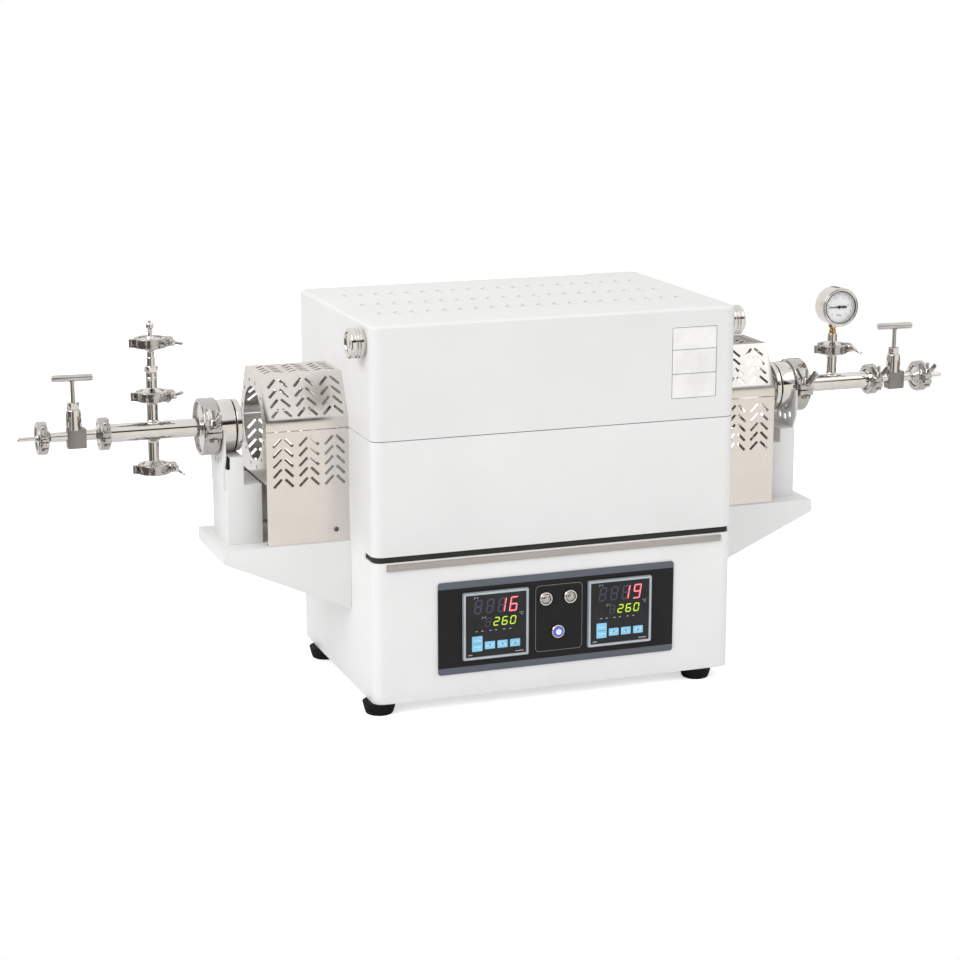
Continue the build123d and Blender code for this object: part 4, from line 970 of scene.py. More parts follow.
class FURNACE_OT_controllers(bpy.types.Operator):
    """Two temperature controllers: bezel, film, digits, keys and marks"""

    bl_idname = "furnace.controllers"
    bl_label = "Controllers"

    def execute(self, context):
        size = 96.0
        z = middle("temperature_controllers", "z")
        reach = high("temperature_controllers", "x") - size / 2
        back = low("control_panel", "y")
        front = low("temperature_controllers", "y")
        proud = back - front
        bodies, faces, lines = [], [], []
        rim, edge = 3.4, 1.1
        for x in (-reach, reach):
            spot = facing_front(x, back, z)
            steps = [
                (size, 2.4, 0.0),
                (size, 2.4, proud - 1.0),
                (size - 2 * edge, 1.8, proud),
                (size - 2 * rim, 1.2, proud),
                (size - 2 * rim - 1.2, 0.9, proud - 1.2),
            ]
            bm = bmesh.new()
            rows = [
                [bm.verts.new((px, py, level)) for px, py in rounded_rectangle(wide, wide, radius, 4)]
                for wide, radius, level in steps
            ]
            wall_between(bm, rows)
            bm.faces.new(rows[-1])
            bm.faces.new(list(reversed(rows[0])))
            body = block(90.0, 90.0, 78.0, 1.0)
            bodies.append((bm, spot))
            bodies.append((body, spot @ Matrix.Translation((0, 0, -78.0))))
            # Two thin pale rings on each bezel face: painted highlights along its outer and inner edges.
            for inset, thick in ((1.5, 0.7), (rim - 0.5, 0.5)):
                outer = rounded_rectangle(size - 2 * inset, size - 2 * inset, 1.6, 4)
                inner = rounded_rectangle(size - 2 * (inset + thick), size - 2 * (inset + thick), 1.2, 4)
                ring = bmesh.new()
                edges = (outer, inner)
                wall_between(ring, [[ring.verts.new((px, py, 0.05)) for px, py in shape] for shape in edges])
                lines.append((ring, spot @ Matrix.Translation((0, 0, proud))))
            film = slab(rounded_rectangle(size - 2 * rim - 1.6, size - 2 * rim - 1.6, 0.8), 0.3, 0.1, 1)
            faces.append((film, spot @ Matrix.Translation((0, 0, proud - 1.2))))
        finish(
            join(*bodies), "controller_cases", FINISHES["bezel"], "furnace",
            ["temperature_controllers"],
        )
        finish(join(*faces), "controller_films", FINISHES["face_film"], "furnace", ())
        finish(
            join(*lines), "bezel_lines", FINISHES["bright_line"], "furnace", (), False
        )
        level = proud - 0.9
        tall = settings().digit_height / MM
        small = tall * 0.6
        dim, red, core, green, keys, marks, prints, letters = [], [], [], [], [], [], [], []
        for x, lit in ((-reach, "16"), (reach, "19")):
            face = facing_front(x, back, z) @ Matrix.Translation((0, 0, level))

            def at(px, py, lift=0.0):
                return face @ Matrix.Translation((px, py, lift))

            top_row, low_row = 16.9, -1.8
            pitch, low_pitch = tall * 0.84, small * 0.98
            dim.append((number_mesh("888 ", tall, pitch), at(32.6, top_row)))
            red.append((number_mesh(lit, tall, pitch), at(32.6, top_row, 0.02)))
            core.append((number_mesh(lit, tall, pitch, 0.54, 0.05), at(32.6, top_row, 0.06)))
            dim.append((number_mesh("8   ", small, low_pitch, 0.68), at(29.8, low_row)))
            green.append((number_mesh("260", small, low_pitch, 0.68, 0.125), at(29.8, low_row, 0.02)))
            for words, px, py, letter_size in (
                ("P V", -29, 39.8, 4.6), ("S V", -18, 11.0, 4.4), ("°C", 36.5, 12.5, 6.0),
            ):
                letters.append(text_mesh(words, letter_size, at(px, py, 0.06), 0.15))
            for px in (-28.4, -20.0, -8.4, -0.2, 11.6, 20.4):
                letters.append((slab(rounded_rectangle(3.2, 1.0, 0.2, 1), 0.1), at(px, -7.7)))
            for index, (wide, high_) in enumerate(((15.2, 21.6), (14.8, 10.8), (14.8, 10.8), (14.8, 10.8))):
                px = -27.5 + index * 18.4
                py = -36.5 + high_ / 2 + (0.5 if index == 0 else 2.5)
                keys.append((slab(rounded_rectangle(wide, high_, 1.0), 0.35, 0.15, 1), at(px, py)))
                bar = [(-5.6, 0.4), (5.6, 0.4), (5.6, -0.4), (-5.6, -0.4)]
                if index == 0:
                    marks.append((slab(bar, 0.06), at(px, py, 0.35)))
                    prints.append((slab(bar, 0.06), at(px, py + 4.6, 0.35)))
                    prints.append((slab(bar, 0.06), at(px, py - 4.6, 0.35)))
                    continue
                tilt = Matrix.Rotation((0.5, -0.6, 0.6)[index - 1], 4, "Z")
                for shift in (-2.6, 2.6):
                    stroke = slab([(-3.4, 0.7), (3.4, 0.7), (3.4, -0.7), (-3.4, -0.7)], 0.06)
                    prints.append((stroke, at(px + shift, py, 0.35) @ tilt))
                shape = [(-1.9, 1.3), (0, -1.5), (1.9, 1.3)]
                if index == 3:
                    shape = [(-1.9, -1.3), (1.9, -1.3), (0, 1.5)]
                marks.append((slab(shape, 0.1), at(px, py, 0.35)))
            for px, wide in ((-37.5, 6.0), (34.5, 12.0)):
                letters.append((slab(rounded_rectangle(wide, 1.1, 0.2, 1), 0.06), at(px, -40.8)))
        finish(join(*dim), "unlit_segments", FINISHES["dim"], "furnace", (), False)
        finish(join(*red), "measured_digits", FINISHES["red"], "furnace", (), False)
        finish(join(*core), "measured_digit_cores", FINISHES["red_core"], "furnace", (), False)
        finish(join(*green), "set_digits", FINISHES["green"], "furnace", (), False)
        finish(join(*keys), "controller_keys", FINISHES["key"], "furnace", ())
        finish(join(*marks), "key_marks", FINISHES["key_mark"], "furnace", (), False)
        finish(join(*prints), "key_prints", FINISHES["key_light"], "furnace", (), False)
        finish(join(*letters), "controller_marks", FINISHES["pale_print"], "furnace", (), False)
        return {"FINISHED"}


class FURNACE_OT_buttons(bpy.types.Operator):
    """Three push buttons: polished bushings, domed caps and a lit lens"""

    bl_idname = "furnace.buttons"
    bl_label = "Push buttons"

    def execute(self, context):
        back = low("control_panel", "y")
        proud = back - low("button_bushings", "y")
        cap = back - low("start_button", "y")
        bushing = [(-26, 0), (-26, 8.0), (0, 8.0), (0, 9.9), (proud - 1.6, 9.9), (proud, 8.9), (proud, 7.6)]
        bushing += [(proud - 0.9, 7.12), (-15, 7.12), (-15, 0)]
        lock_nut = lathe([(0, 8.6), (0, 11.0), (3.0, 11.0), (3.0, 8.6)], 6, 0.3, closed=True)
        parts = []
        names = ("start_button", "stop_button", "power_button")
        for node in names:
            spot = facing_front(middle(node, "x"), back, middle(node, "z"))
            parts.append((lathe(bushing, 64, 0.35), spot))
            parts.append((lock_nut, spot @ Matrix.Translation((0, 0, -9.0))))
            inner = cap - 14.0
            if node == "power_button":
                profile = [(inner, 0), (inner, 6.98), (cap - 0.9, 6.98), (cap - 0.2, 6.2), (cap - 0.2, 4.6)]
                profile += [(cap - 0.5, 4.4), (cap - 0.5, 0)]
                dome = join((lathe(profile, 64, 0.25), spot))
                finish(dome, "power_cap", FINISHES["lit_ring"], node, [node])
                lens = [(cap - 0.6, 0), (cap - 0.6, 4.2), (cap - 0.2, 4.1), (cap, 2.6), (cap, 0)]
                finish(join((lathe(lens, 48, 0.3), spot)), "power_lens", FINISHES["lit_lens"], node)
                arc = [(cap - 0.2, 2.0), (cap, 2.0), (cap, 3.0), (cap - 0.2, 3.0)]
                symbol = lathe(arc, 40, 0.0, closed=True, sweep=270.0, start=135.0)
                stroke = slab([(-0.45, 0.6), (0.45, 0.6), (0.45, 3.2), (-0.45, 3.2)], 0.2)
                mark = join((symbol, spot), (stroke, spot @ Matrix.Translation((0, 0, cap - 0.2))))
                finish(mark, "power_mark", FINISHES["lit_mark"], node, (), False)
            else:
                profile = [(inner, 0), (inner, 6.98), (cap - 3.4, 6.98), (cap - 2.0, 5.9), (cap - 0.9, 4.3)]
                profile += [(cap - 0.3, 2.6), (cap, 1.0), (cap, 0)]
                finish(join((lathe(profile, 64, 0.6), spot)), f"{node}_cap", FINISHES["cast"], node, [node])
        finish(
            join(*parts), "bushings", FINISHES["polished"], "furnace",
            ["button_bushings"],
        )
        return {"FINISHED"}


# ---------------------------------------------------------------- guards, core and flanges


class FURNACE_OT_guards(bpy.types.Operator):
    """Perforated stainless guards round the hot ends of the tube"""

    bl_idname = "furnace.guards"
    bl_label = "Guards"

    def execute(self, context):
        for node in ("lower_guard_left", "lower_guard_right", "upper_guard_left", "upper_guard_right"):
            from_node(node, FINISHES["sheet_long"])
        from_node("flange_saddles", FINISHES["paint"], 0.25)
        return {"FINISHED"}


class FURNACE_OT_core(bpy.types.Operator):
    """Fibre blocks, wound heating coils, thermocouples and the quartz tube"""

    bl_idname = "furnace.core"
    bl_label = "Hot core"

    def execute(self, context):
        for node in ("lower_insulation", "lid_insulation"):
            from_node(node, FINISHES["fibre"])
        turns = settings().coil_turns
        rod = 3.0
        for node, body, side in (("lower_heater", "furnace", -1), ("lid_heater", "lid", 1)):
            length = high(node, "x") - low(node, "x")
            ring = high(node, "y") - rod
            empty = bpy.data.meshes.new("empty")
            mesh = evaluated(
                empty,
                TREES["coil"],
                {
                    "Turns": float(turns),
                    "Coil radius": rod - 0.75,
                    "Length": length - 2.0,
                    "Wire radius": 0.7,
                    "Finish": FINISHES["heater"],
                },
            )
            bm = bmesh.new()
            bm.from_mesh(mesh)
            bmesh.ops.translate(bm, verts=bm.verts, vec=(0, 0, 1.0 - length / 2))
            spots = []
            count = 6
            for index in range(count):
                angle = math.radians((index + 0.5) * 180 / count)
                radius = ring / math.cos(math.radians(90 / count))
                where = (0, radius * math.cos(angle), AXIS_Z + side * radius * math.sin(angle))
                spots.append((where, (0, math.pi / 2, 0)))
            repeated(f"{node}_coils", bm, spots, FINISHES["heater"], body, [node])
        from_node("thermocouples", FINISHES["dark_steel"])
        outer, inner = 25.0, 22.0
        half = high("process_tube", "x")
        wall = [(-half, inner), (-half, outer), (half, outer), (half, inner)]
        bm = lathe(wall, 96, 0.6, closed=True)
        tube = join((bm, along_x()))
        finish(tube, "quartz_tube", FINISHES["quartz"], "furnace", ["process_tube"])
        from_node("seal_rings", FINISHES["silicone"])
        return {"FINISHED"}


class FURNACE_OT_flanges(bpy.types.Operator):
    """Polished end flanges with their compression rings"""

    bl_idname = "furnace.flanges"
    bl_label = "End flanges"

    def execute(self, context):
        segments = settings().turn_segments
        start = JOINT_X - (high("tube_flanges", "x") - 403.5)
        ring = [(403.5, 25.3), (403.5, 35.2), (404.3, 36.0), (410.2, 36.0), (411.0, 35.2), (411.0, 29.3)]
        ring += [(409.0, 29.3), (409.0, 25.3)]
        body = [(412.5, 29.3), (412.5, 35.2), (413.3, 36.0), (432.7, 36.0), (433.5, 35.2), (433.5, 33.6)]
        body += [(438.0, 33.6), (444.0, 36.0), (446.0, 36.0), (446.0, 20.0), (426.3, 20.0), (426.3, 25.3)]
        body += [(415.5, 25.3), (415.5, 29.3)]
        for name, profile, node in (
            ("compression_nuts", ring, "compression_rings"),
            ("end_flanges", body, "tube_flanges"),
        ):
            bm = lathe(profile, segments, 0.25, closed=True)
            right = join((bm, along_x()))
            both = join(right, mirrored(right))
            finish(both, name, FINISHES["polished"], "furnace", [node])
        return {"FINISHED"}


# ---------------------------------------------------------------- swing clamps


def across(x, turn=0.0):
    """Angles and place of a clamp round a horizontal pipe, closing towards the front."""
    matrix = Matrix(((0, 0, 1), (-1, 0, 0), (0, -1, 0)))
    return ((x, 0, AXIS_Z), tuple(matrix.to_euler()), (1, 1, 1), turn)


def around(x, z, turn=0.0):
    """Angles and place of a clamp round an upright port, closing to the right."""
    return ((x, 0, z), (0, 0, 0), (1, 1, 1), turn)


def clamp_band(outer, half_width, land, half, rim, edge):
    """Both halves of a clamp, with lugs at +x and hinge ears at -x, about local z."""
    inner = edge + 0.3
    profile = [(-half_width, inner), (-half, inner), (-land, rim + 0.3), (land, rim + 0.3), (half, inner)]
    profile += [(half_width, inner), (half_width, outer - 1.2), (half_width - 1.2, outer)]
    profile += [(1.2 - half_width, outer), (-half_width, outer - 1.2)]
    parts = []
    opening = math.degrees(0.7 / inner)
    screw_x = outer + 4.2
    lug_half = half_width - 1.0
    lug_end = outer + 8.2
    pin_x = -(outer + 3.6)
    third = 2 * lug_half / 3
    for side in (-1, 1):
        start = opening if side > 0 else 180 + opening
        parts.append(lathe(profile, 40, 0.35, closed=True, sweep=180 - 2 * opening, start=start))
        tangent = math.radians(38)
        outline = [
            (outer - 3.0, side * 0.7),
            (lug_end - 0.6, side * 0.7),
            (lug_end, side * 1.4),
            (lug_end - 0.8, side * 7.4),
            (lug_end - 2.0, side * 8.5),
            (outer + 1.2, side * 8.5),
            (outer * math.cos(tangent) - 0.6, side * outer * math.sin(tangent) - side * 0.5),
        ]
        if side < 0:
            outline.reverse()
        lug = slab(outline, 2 * lug_half, 0.5, 2)
        parts.append((lug, Matrix.Translation((0, 0, -lug_half))))
        spans = [0] if side > 0 else [-third, third]
        for span in spans:
            knuckle = lathe([(0, 0), (0, 3.3), (third - 0.3, 3.3), (third - 0.3, 0)], 24, 0.3)
            parts.append((knuckle, Matrix.Translation((pin_x, 0, span - third / 2 + 0.15))))
            ear = [(pin_x, side * 3.25), (pin_x, side * 0.3)]
            ear += [(2.5 - outer, side * 0.7), (1.5 - outer * 0.94, side * 7.0)]
            if side > 0:
                ear.reverse()
            web = slab(ear, third - 0.3, 0.3, 1)
            parts.append((web, Matrix.Translation((0, 0, span - third / 2 + 0.15))))
    return join(*parts), screw_x, pin_x, lug_half


def wing_screw(screw_x, pin_x, lug_half, turn, size=1.0):
    """Screw with a collar nut on one lug, a wing nut on the other, and the hinge pin."""
    wing_span = 12.0
    tip = 8.5 + 14.1 * size
    shaft = lathe([(-8.6, 0), (-8.6, 2.2), (tip - 0.6, 2.2), (tip, 1.6), (tip, 0)], 20, 0.2)
    collar = [(-8.5 - 3.1 * size, 0), (-8.5 - 3.1 * size, 3.4 * size), (-8.5 - 2.5 * size, 4.2 * size)]
    collar = lathe(collar + [(-8.5, 4.2 * size), (-8.5, 0)], 28, 0.3)
    nut = [(8.5, 0), (8.5, 4.6), (9.6, 4.6), (13.6, 3.4), (14.6, 3.0), (14.6, 0)]
    hub = lathe([(8.5 + (height - 8.5) * size, radius * size) for height, radius in nut], 28, 0.4)
    wings = []
    for side in (-1, 1):
        outline = [
            (side * 1.5, 9.0),
            (side * 4.2, 9.2),
            (side * wing_span * 0.62, 10.6),
            (side * wing_span, 17.6),
            (side * wing_span * 0.94, 21.0),
            (side * wing_span * 0.74, 22.4),
            (side * wing_span * 0.5, 18.6),
            (side * 3.0, 14.2),
            (side * 1.5, 13.6),
        ]
        if side > 0:
            outline.reverse()
        outline = [(across_ * size, 8.5 + (height - 8.5) * size) for across_, height in outline]
        shaped = eased(outline, 1.6 * size, 3, closed=True)
        wing = slab(shaped, 2.6 * size, 0.5, 2)
        flat = Matrix.Rotation(math.pi / 2, 4, "X") @ Matrix.Translation((0, 0, -1.3 * size))
        wings.append((wing, Matrix.Rotation(turn, 4, "Z") @ flat))
    lying = Matrix.Translation((screw_x, 0, 0)) @ Matrix.Rotation(math.pi / 2, 4, "X")
    upright_parts = join(shaft, collar, hub, *wings)
    pin = lathe([(-lug_half, 0), (-lug_half, 1.6), (lug_half, 1.6), (lug_half, 0)], 16, 0.3)
    return join((upright_parts, lying), (pin, Matrix.Translation((pin_x, 0, 0))))


class FURNACE_OT_clamps(bpy.types.Operator):
    """Swing clamps: eight on the gas lines and two on the end flanges"""

    bl_idname = "furnace.clamps"
    bl_label = "Swing clamps"

    def execute(self, context):
        valve_in = high("inlet_valve_body", "x")
        valve_out = low("outlet_valve_body", "x")
        line = [
            across(valve_in, -0.34),
            across(low("inlet_valve_body", "x"), -0.3),
            across(valve_out, 1.1),
            across(high("outlet_valve_body", "x"), 0.7),
            around(CROSS_X, UPPER_PORT_Z, 0.5),
            around(CROSS_X, TOP_PORT_Z, -0.05),
            around(CROSS_X, LOWER_PORT_Z, -0.65),
            around(TEE_X, GAUGE_PORT_Z, -0.5),
        ]
        flange = [across(-JOINT_X, 0.3), across(JOINT_X, 0.45)]
        for name, spots, sizes, nut_size in (
            ("line", line, (22.5, CLAMP_HALF, 1.5, 5.0, 17.5, 15.2), 1.15),
            ("flange", flange, (39.5, 11.5, 2.0, 8.0, 36.0, 33.6), 1.65),
        ):
            band, screw_x, pin_x, lug_half = clamp_band(*sizes)
            repeated(
                f"{name}_clamp_bands", band, [s[:3] for s in spots], FINISHES["cast"],
                "furnace", [f"{name}_clamps"],
            )
            placed = []
            for where, angles, _, turn in spots:
                matrix = Matrix.Translation(where) @ Euler(angles).to_matrix().to_4x4()
                placed.append((wing_screw(screw_x, pin_x, lug_half, turn, nut_size), matrix))
            finish(
                join(*placed), f"{name}_wing_screws", FINISHES["turned"], "furnace",
                [f"{name}_clamp_screws"],
            )
        return {"FINISHED"}


# ---------------------------------------------------------------- gas lines


def rim(face, away, hub):
    """Profile of a clamped rim, from its face to its hub, to the side that away points."""
    return [
        (face, 17.2),
        (face + away * 0.3, 17.5),
        (face + away * 1.5, 17.5),
        (face + away * 5.0, 15.2),
        (face + away * (5.0 + (15.2 - hub) / 1.5 + 1), hub),
    ]


class FURNACE_OT_pipes(bpy.types.Operator):
    """Cross, tee, blank, relief valve, feedthrough and hose stubs"""

    bl_idname = "furnace.pipes"
    bl_label = "Gas lines"

    def pipe(self, end_x, port_x, rises):
        """Cover disc, main pipe and side ports with their welds."""
        out = math.copysign(1, end_x)
        joint = out * JOINT_X
        profile = [(joint, 11.2), (joint, 35.4), (joint + out * 0.6, 36.0), (joint + out * 2, 36.0)]
        profile += [(joint + out * 8, 33.6), (joint + out * 9, 33.2), (joint + out * 9, 14.6)]
        profile += [(joint + out * 10.4, 13.1), (joint + out * 12, 12.7)]
        profile += list(reversed(rim(end_x, -out, 12.7)))
        profile += [(end_x, 11.2)]
        parts = [(lathe(profile, 72, 0.5, closed=True), along_x())]
        for rise in rises:
            way = math.copysign(1, rise)
            port = [(way * 11.0, 0), (way * 11.0, 10.6), (way * 12.4, 9.6)]
            port += [(way * 13.6, 8.2), (way * 15.4, 7.5)]
            port += list(reversed(rim(rise, -way, 7.5)))
            port += [(rise, 0)]
            parts.append((lathe(port, 56, 0.4), upright(port_x, 0, AXIS_Z)))
        return join(*parts)

    def execute(self, context):
        steel = FINISHES["polished"]
        cross_rises = (UPPER_PORT_Z - AXIS_Z, LOWER_PORT_Z - AXIS_Z)
        inlet = high("inlet_valve_body", "x")
        outlet = low("outlet_valve_body", "x")
        finish(self.pipe(inlet, CROSS_X, cross_rises), "cross_pipe", steel, "furnace", ["gas_cross"])
        tee_rises = (GAUGE_PORT_Z - AXIS_Z,)
        finish(self.pipe(outlet, TEE_X, tee_rises), "tee_pipe", steel, "furnace", ["gas_tee"])

        height = TOP_PORT_Z - UPPER_PORT_Z
        relief = [(0, 0)] + rim(0, 1, 7.5)
        relief += [(22.0, 7.5), (23.4, 8.1), (25.0, 8.1), (26.0, 7.5), (32.0, 7.5), (32.6, 6.6)]
        relief += [(40.2, 6.6), (41.0, 6.0), (52.0, 5.6), (53.2, 5.0)]
        relief += list(reversed(rim(height, -1, 5.0))) + [(height, 0)]
        nut = hex_nut(9.5, 7.0)
        parts = [(lathe(relief, 56, 0.4), upright(CROSS_X, 0, UPPER_PORT_Z))]
        parts.append((nut, upright(CROSS_X, 0, UPPER_PORT_Z + 33.2)))
        finish(join(*parts), "relief_valve_body", steel, "furnace", ["relief_valve"])

        through = [(0, 0)] + rim(0, 1, 5.5)[:4]
        through += [(5.6, 13.8), (5.6, 6.2), (8.0, 5.4), (8.4, 3.0), (14.0, 3.0), (14.6, 4.0), (16.0, 4.0)]
        through += [(16.6, 3.0), (18.0, 3.0), (18.8, 4.6), (20.6, 5.3), (24.6, 5.3), (26.6, 4.0), (27.2, 2.4)]
        through += [(29.4, 2.2), (30.0, 1.4), (30.0, 0)]
        bm = lathe(through, 48, 0.35)
        cap = join((bm, upright(CROSS_X, 0, TOP_PORT_Z)))
        finish(cap, "feedthrough_cap", steel, "furnace", ["feedthrough"])

        blank = [(0, 0), (0, 17.2), (-0.3, 17.5), (-1.5, 17.5)]
        blank += [(-5.0, 15.2), (-5.0, 9.0), (-4.2, 8.2), (-4.2, 0)]
        bm = lathe(blank, 56, 0.3)
        cap = join((bm, upright(CROSS_X, 0, LOWER_PORT_Z)))
        finish(cap, "blank_cap", steel, "furnace", ["port_blank"])

        for node, out in (("gas_inlet", -1), ("gas_outlet", 1)):
            near = high(node, "x") if out < 0 else low(node, "x")
            far = low(node, "x") if out < 0 else high(node, "x")
            stub = [(near, 2.1)] + rim(near, out, 6.0)[:4]
            stub += [(near + out * 5.4, 6.0), (near + out * 6.6, 5.2), (near + out * 7.4, 3.6)]
            stub += [(near + out * 8.6, 3.175), (far - out * 1.0, 3.175), (far, 2.6), (far, 2.1)]
            bm = lathe(stub, 48, 0.25, closed=True)
            finish(join((bm, along_x())), f"{node}_stub", steel, "furnace", [node])
        return {"FINISHED"}


class FURNACE_OT_valves(bpy.types.Operator):
    """Needle valves: satin body, bonnet, packing nut, stem and T handle"""

    bl_idname = "furnace.valves"
    bl_label = "Needle valves"

    def execute(self, context):
        for line, out in (("inlet", -1), ("outlet", 1)):
            body = f"{line}_valve_body"
            stem_x = middle(f"{line}_stem", "x")
            near = high(body, "x") if out < 0 else low(body, "x")
            far = low(body, "x") if out < 0 else high(body, "x")
            tubes = [(near, 0)] + rim(near, out, 7.5) + list(reversed(rim(far, -out, 6.5))) + [(far, 0)]
            top = high(body, "z") - AXIS_Z
            neck = top - 8.5
            bonnet = [(9.0, 0), (9.0, 10.5), (neck - 9.5, 10.5), (neck - 2.0, 9.4), (neck - 1.0, 8.6)]
            bonnet += [(neck - 1.0, 7.0), (neck, 7.0), (neck, 0)]
            nut = hex_nut(8.6, 8.5)
            parts = [(lathe(tubes, 56, 0.4), along_x())]
            parts.append((lathe(bonnet, 56, 0.35), upright(stem_x, 0, AXIS_Z)))
            parts.append((nut, upright(stem_x, 0, AXIS_Z + neck)))
            finish(join(*parts), f"{line}_valve_bonnet", FINISHES["polished"], "furnace", [body])
            # The block's satin steel is darkened as painted shade for the dark reflection on its faces.
            cube = block(25.0, 18.0, 26.5, 0.9)
            spot = upright(stem_x + 2.5, 0, AXIS_Z - 16.25)
            finish(join((cube, spot)), f"{line}_valve_block", FINISHES["satin"], "furnace", ())
            foot, head = low(f"{line}_stem", "z"), high(f"{line}_stem", "z")
            rod = [(foot, 0), (foot, 2.4), (foot + 0.5, 2.9), (head - 0.3, 2.9), (head, 2.5), (head, 0)]
            finish(
                join((lathe(rod, 32), upright(stem_x, 0, 0))), f"{line}_valve_stem", FINISHES["turned"],
                f"{line}_stem", [f"{line}_stem"],
            )
            centre = middle(f"{line}_handle", "z")
            bar = [(-27.2, 0), (-27.2, 3.8), (-26.4, 4.7), (26.4, 4.7), (27.2, 3.8), (27.2, 0)]
            collar = lathe([(-5.4, 2.95), (-5.4, 4.2), (-3.4, 4.2), (-3.4, 2.95)], 28, 0.3, closed=True)
            turned = Matrix.Translation((stem_x, 0, centre)) @ Matrix.Rotation(math.radians(-5), 4, "Z")
            laid = turned @ Matrix.Rotation(math.pi / 2, 4, "Y")
            whole = join((lathe(bar, 40, 0.2), laid), (collar, turned))
            finish(
                whole, f"{line}_valve_handle", FINISHES["turned"],
                f"{line}_handle", [f"{line}_handle"],
            )
        return {"FINISHED"}


# ---------------------------------------------------------------- gauge


class FURNACE_OT_gauge(bpy.types.Operator):
    """Pressure gauge: adapter, brass neck, case, dial, ticks, figures and needle"""

    bl_idname = "furnace.gauge"
    bl_label = "Pressure gauge"

    def execute(self, context):
        x = TEE_X
        z = middle("gauge_dial", "z")
        front = low("gauge_case", "y")
        deep = high("gauge_case", "y") - front
        radius = (high("gauge_case", "x") - low("gauge_case", "x")) / 2
        out = facing_front(x, front, z)
        case = [(-1.3, 24.3), (-0.5, 24.5), (0, 25.4), (0, 26.4), (-0.8, radius - 2.2), (-0.2, radius - 1.3)]
        case += [(-0.6, radius - 0.4), (-1.6, radius), (-4.6, radius), (-5.2, radius - 0.9)]
        case += [(-6.4, radius - 0.9), (2.0 - deep, radius - 0.9)]
        case += [(0.6 - deep, radius - 2.0), (-deep + 0.1, radius - 4)]
        case += [(-deep + 0.1, 0), (-7.0, 0), (-7.0, radius - 1.6), (-1.4, radius - 1.6), (-1.4, 24.3)]
        # Dark ring just inside the case's lip: painted shadow between the dial and the bezel.
        shade_ring = lathe([(-1.35, 23.4), (-0.7, 23.5), (-0.5, 24.5), (-1.35, 24.5)], 96, 0.1, closed=True)
        finish(join((shade_ring, out)), "gauge_gasket", FINISHES["rubber"], "furnace", ())
        boss_bottom = high("gauge_adapter", "z")
        boss = hex_nut(6.6, 6.5)
        shell = join((lathe(case, 96, 0.3), out), (boss, upright(x, 0, boss_bottom)))
        finish(shell, "gauge_shell", FINISHES["polished"], "furnace", ["gauge_case"])

        adapter = [(0, 0)] + rim(0, 1, 7.0)
        neck_z = boss_bottom - GAUGE_PORT_Z
        adapter += [(neck_z - 10.4, 7.0), (neck_z - 9.6, 6.4), (neck_z - 9.6, 0)]
        bm = lathe(adapter, 56, 0.3)
        spot = upright(x, 0, GAUGE_PORT_Z)
        stem = join((bm, spot))
        finish(stem, "gauge_stem", FINISHES["polished"], "furnace", ["gauge_adapter"])
        neck = [(-9.7, 0), (-9.7, 4.4), (-8.8, 4.9), (-4.2, 4.9), (-3.6, 4.2)]
        neck += [(-1.8, 4.2), (-1.2, 4.9), (0, 4.9), (0, 0)]
        neck = lathe([(neck_z + height, wide) for height, wide in neck], 40, 0.2)
        finish(join((neck, spot)), "gauge_neck", FINISHES["brass"], "furnace", ())

        dial_y = low("gauge_dial", "y")
        level = facing_front(x, dial_y, z)
        disc = [(-0.9, 1.1), (-0.9, 26.4), (0, 26.8), (0.02, 26.4), (0.02, 1.1)]
        bm = lathe(disc, 96, closed=True)
        finish(join((bm, level)), "dial_plate", FINISHES["dial"], "furnace", ["gauge_dial"])
        tick = slab([(-0.5, -0.5), (0.5, -0.5), (0.5, 0.5), (-0.5, 0.5)], 0.06)
        count = settings().dial_ticks
        start, sweep = 225.0, 270.0
        spots = []
        for index in range(count + 1):
            angle = math.radians(start - sweep * index / count)
            major = index % 5 == 0
            mid = 20.2 if major else 21.0
            where = level @ Vector((mid * math.cos(angle), mid * math.sin(angle), 0.03))
            stretch = (3.8, 0.7, 1) if major else (2.0, 0.28, 1)
            spots.append((where, (math.pi / 2, -angle, 0), stretch))
        repeated("dial_ticks", tick, spots, FINISHES["faint_ink"], "furnace", ())
        figures = []
        for index, words in enumerate(("0", "2", "4", "6", "8", "10")):
            angle = math.radians(start - sweep * index / 5)
            spot = level @ Matrix.Translation((15.0 * math.cos(angle), 15.0 * math.sin(angle), 0.06))
            figures.append(text_mesh(words, 4.2, spot))
        ring = lathe([(0.03, 22.1), (0.03, 22.3), (0.08, 22.3), (0.08, 22.1)], 96, closed=True)
        figures.append((ring, level))
        finish(join(*figures), "dial_figures", FINISHES["faint_ink"], "furnace", ())
        unit = text_mesh("MPa", 5.2, level @ Matrix.Translation((0, -12.6, 0.06)))
        finish(join(unit), "dial_unit", FINISHES["ink"], "furnace", ())

        pane_y = high("gauge_glass", "y")
        pane = [(0, 0), (0, 26.9), (1.6, 27.0), (2.0, 26.0), (2.0, 0)]
        bm = lathe(pane, 96)
        spot = facing_front(x, pane_y, z)
        finish(join((bm, spot)), "gauge_pane", FINISHES["glass"], "furnace", ["gauge_glass"])

        needle_y = low("gauge_needle", "y")
        outline = [(-18, 0.3), (-18, -0.3), (-2.6, -1.0), (3, -1.3), (6, -1.8), (12, -1.6)]
        outline += [(12, 1.6), (6, 1.8), (3, 1.3), (-2.6, 1.0)]
        blade = slab(outline, 0.5, 0.1, 1)
        hub = [(-3.4, 0), (-3.4, 0.98), (-0.6, 0.98), (-0.6, 2.6), (0, 2.6), (0.35, 2.2), (0.35, 0)]
        hub = lathe(hub, 40, 0.15)
        spot = facing_front(x, needle_y, z)
        blade_place, hub_place = (spot @ Matrix.Translation((0, 0, depth)) for depth in (-0.55, -0.4))
        needle = join((blade, blade_place), (hub, hub_place))
        finish(needle, "gauge_pointer", FINISHES["ink"], "gauge_needle", ["gauge_needle"])
        return {"FINISHED"}


# ---------------------------------------------------------------- hinges and fasteners


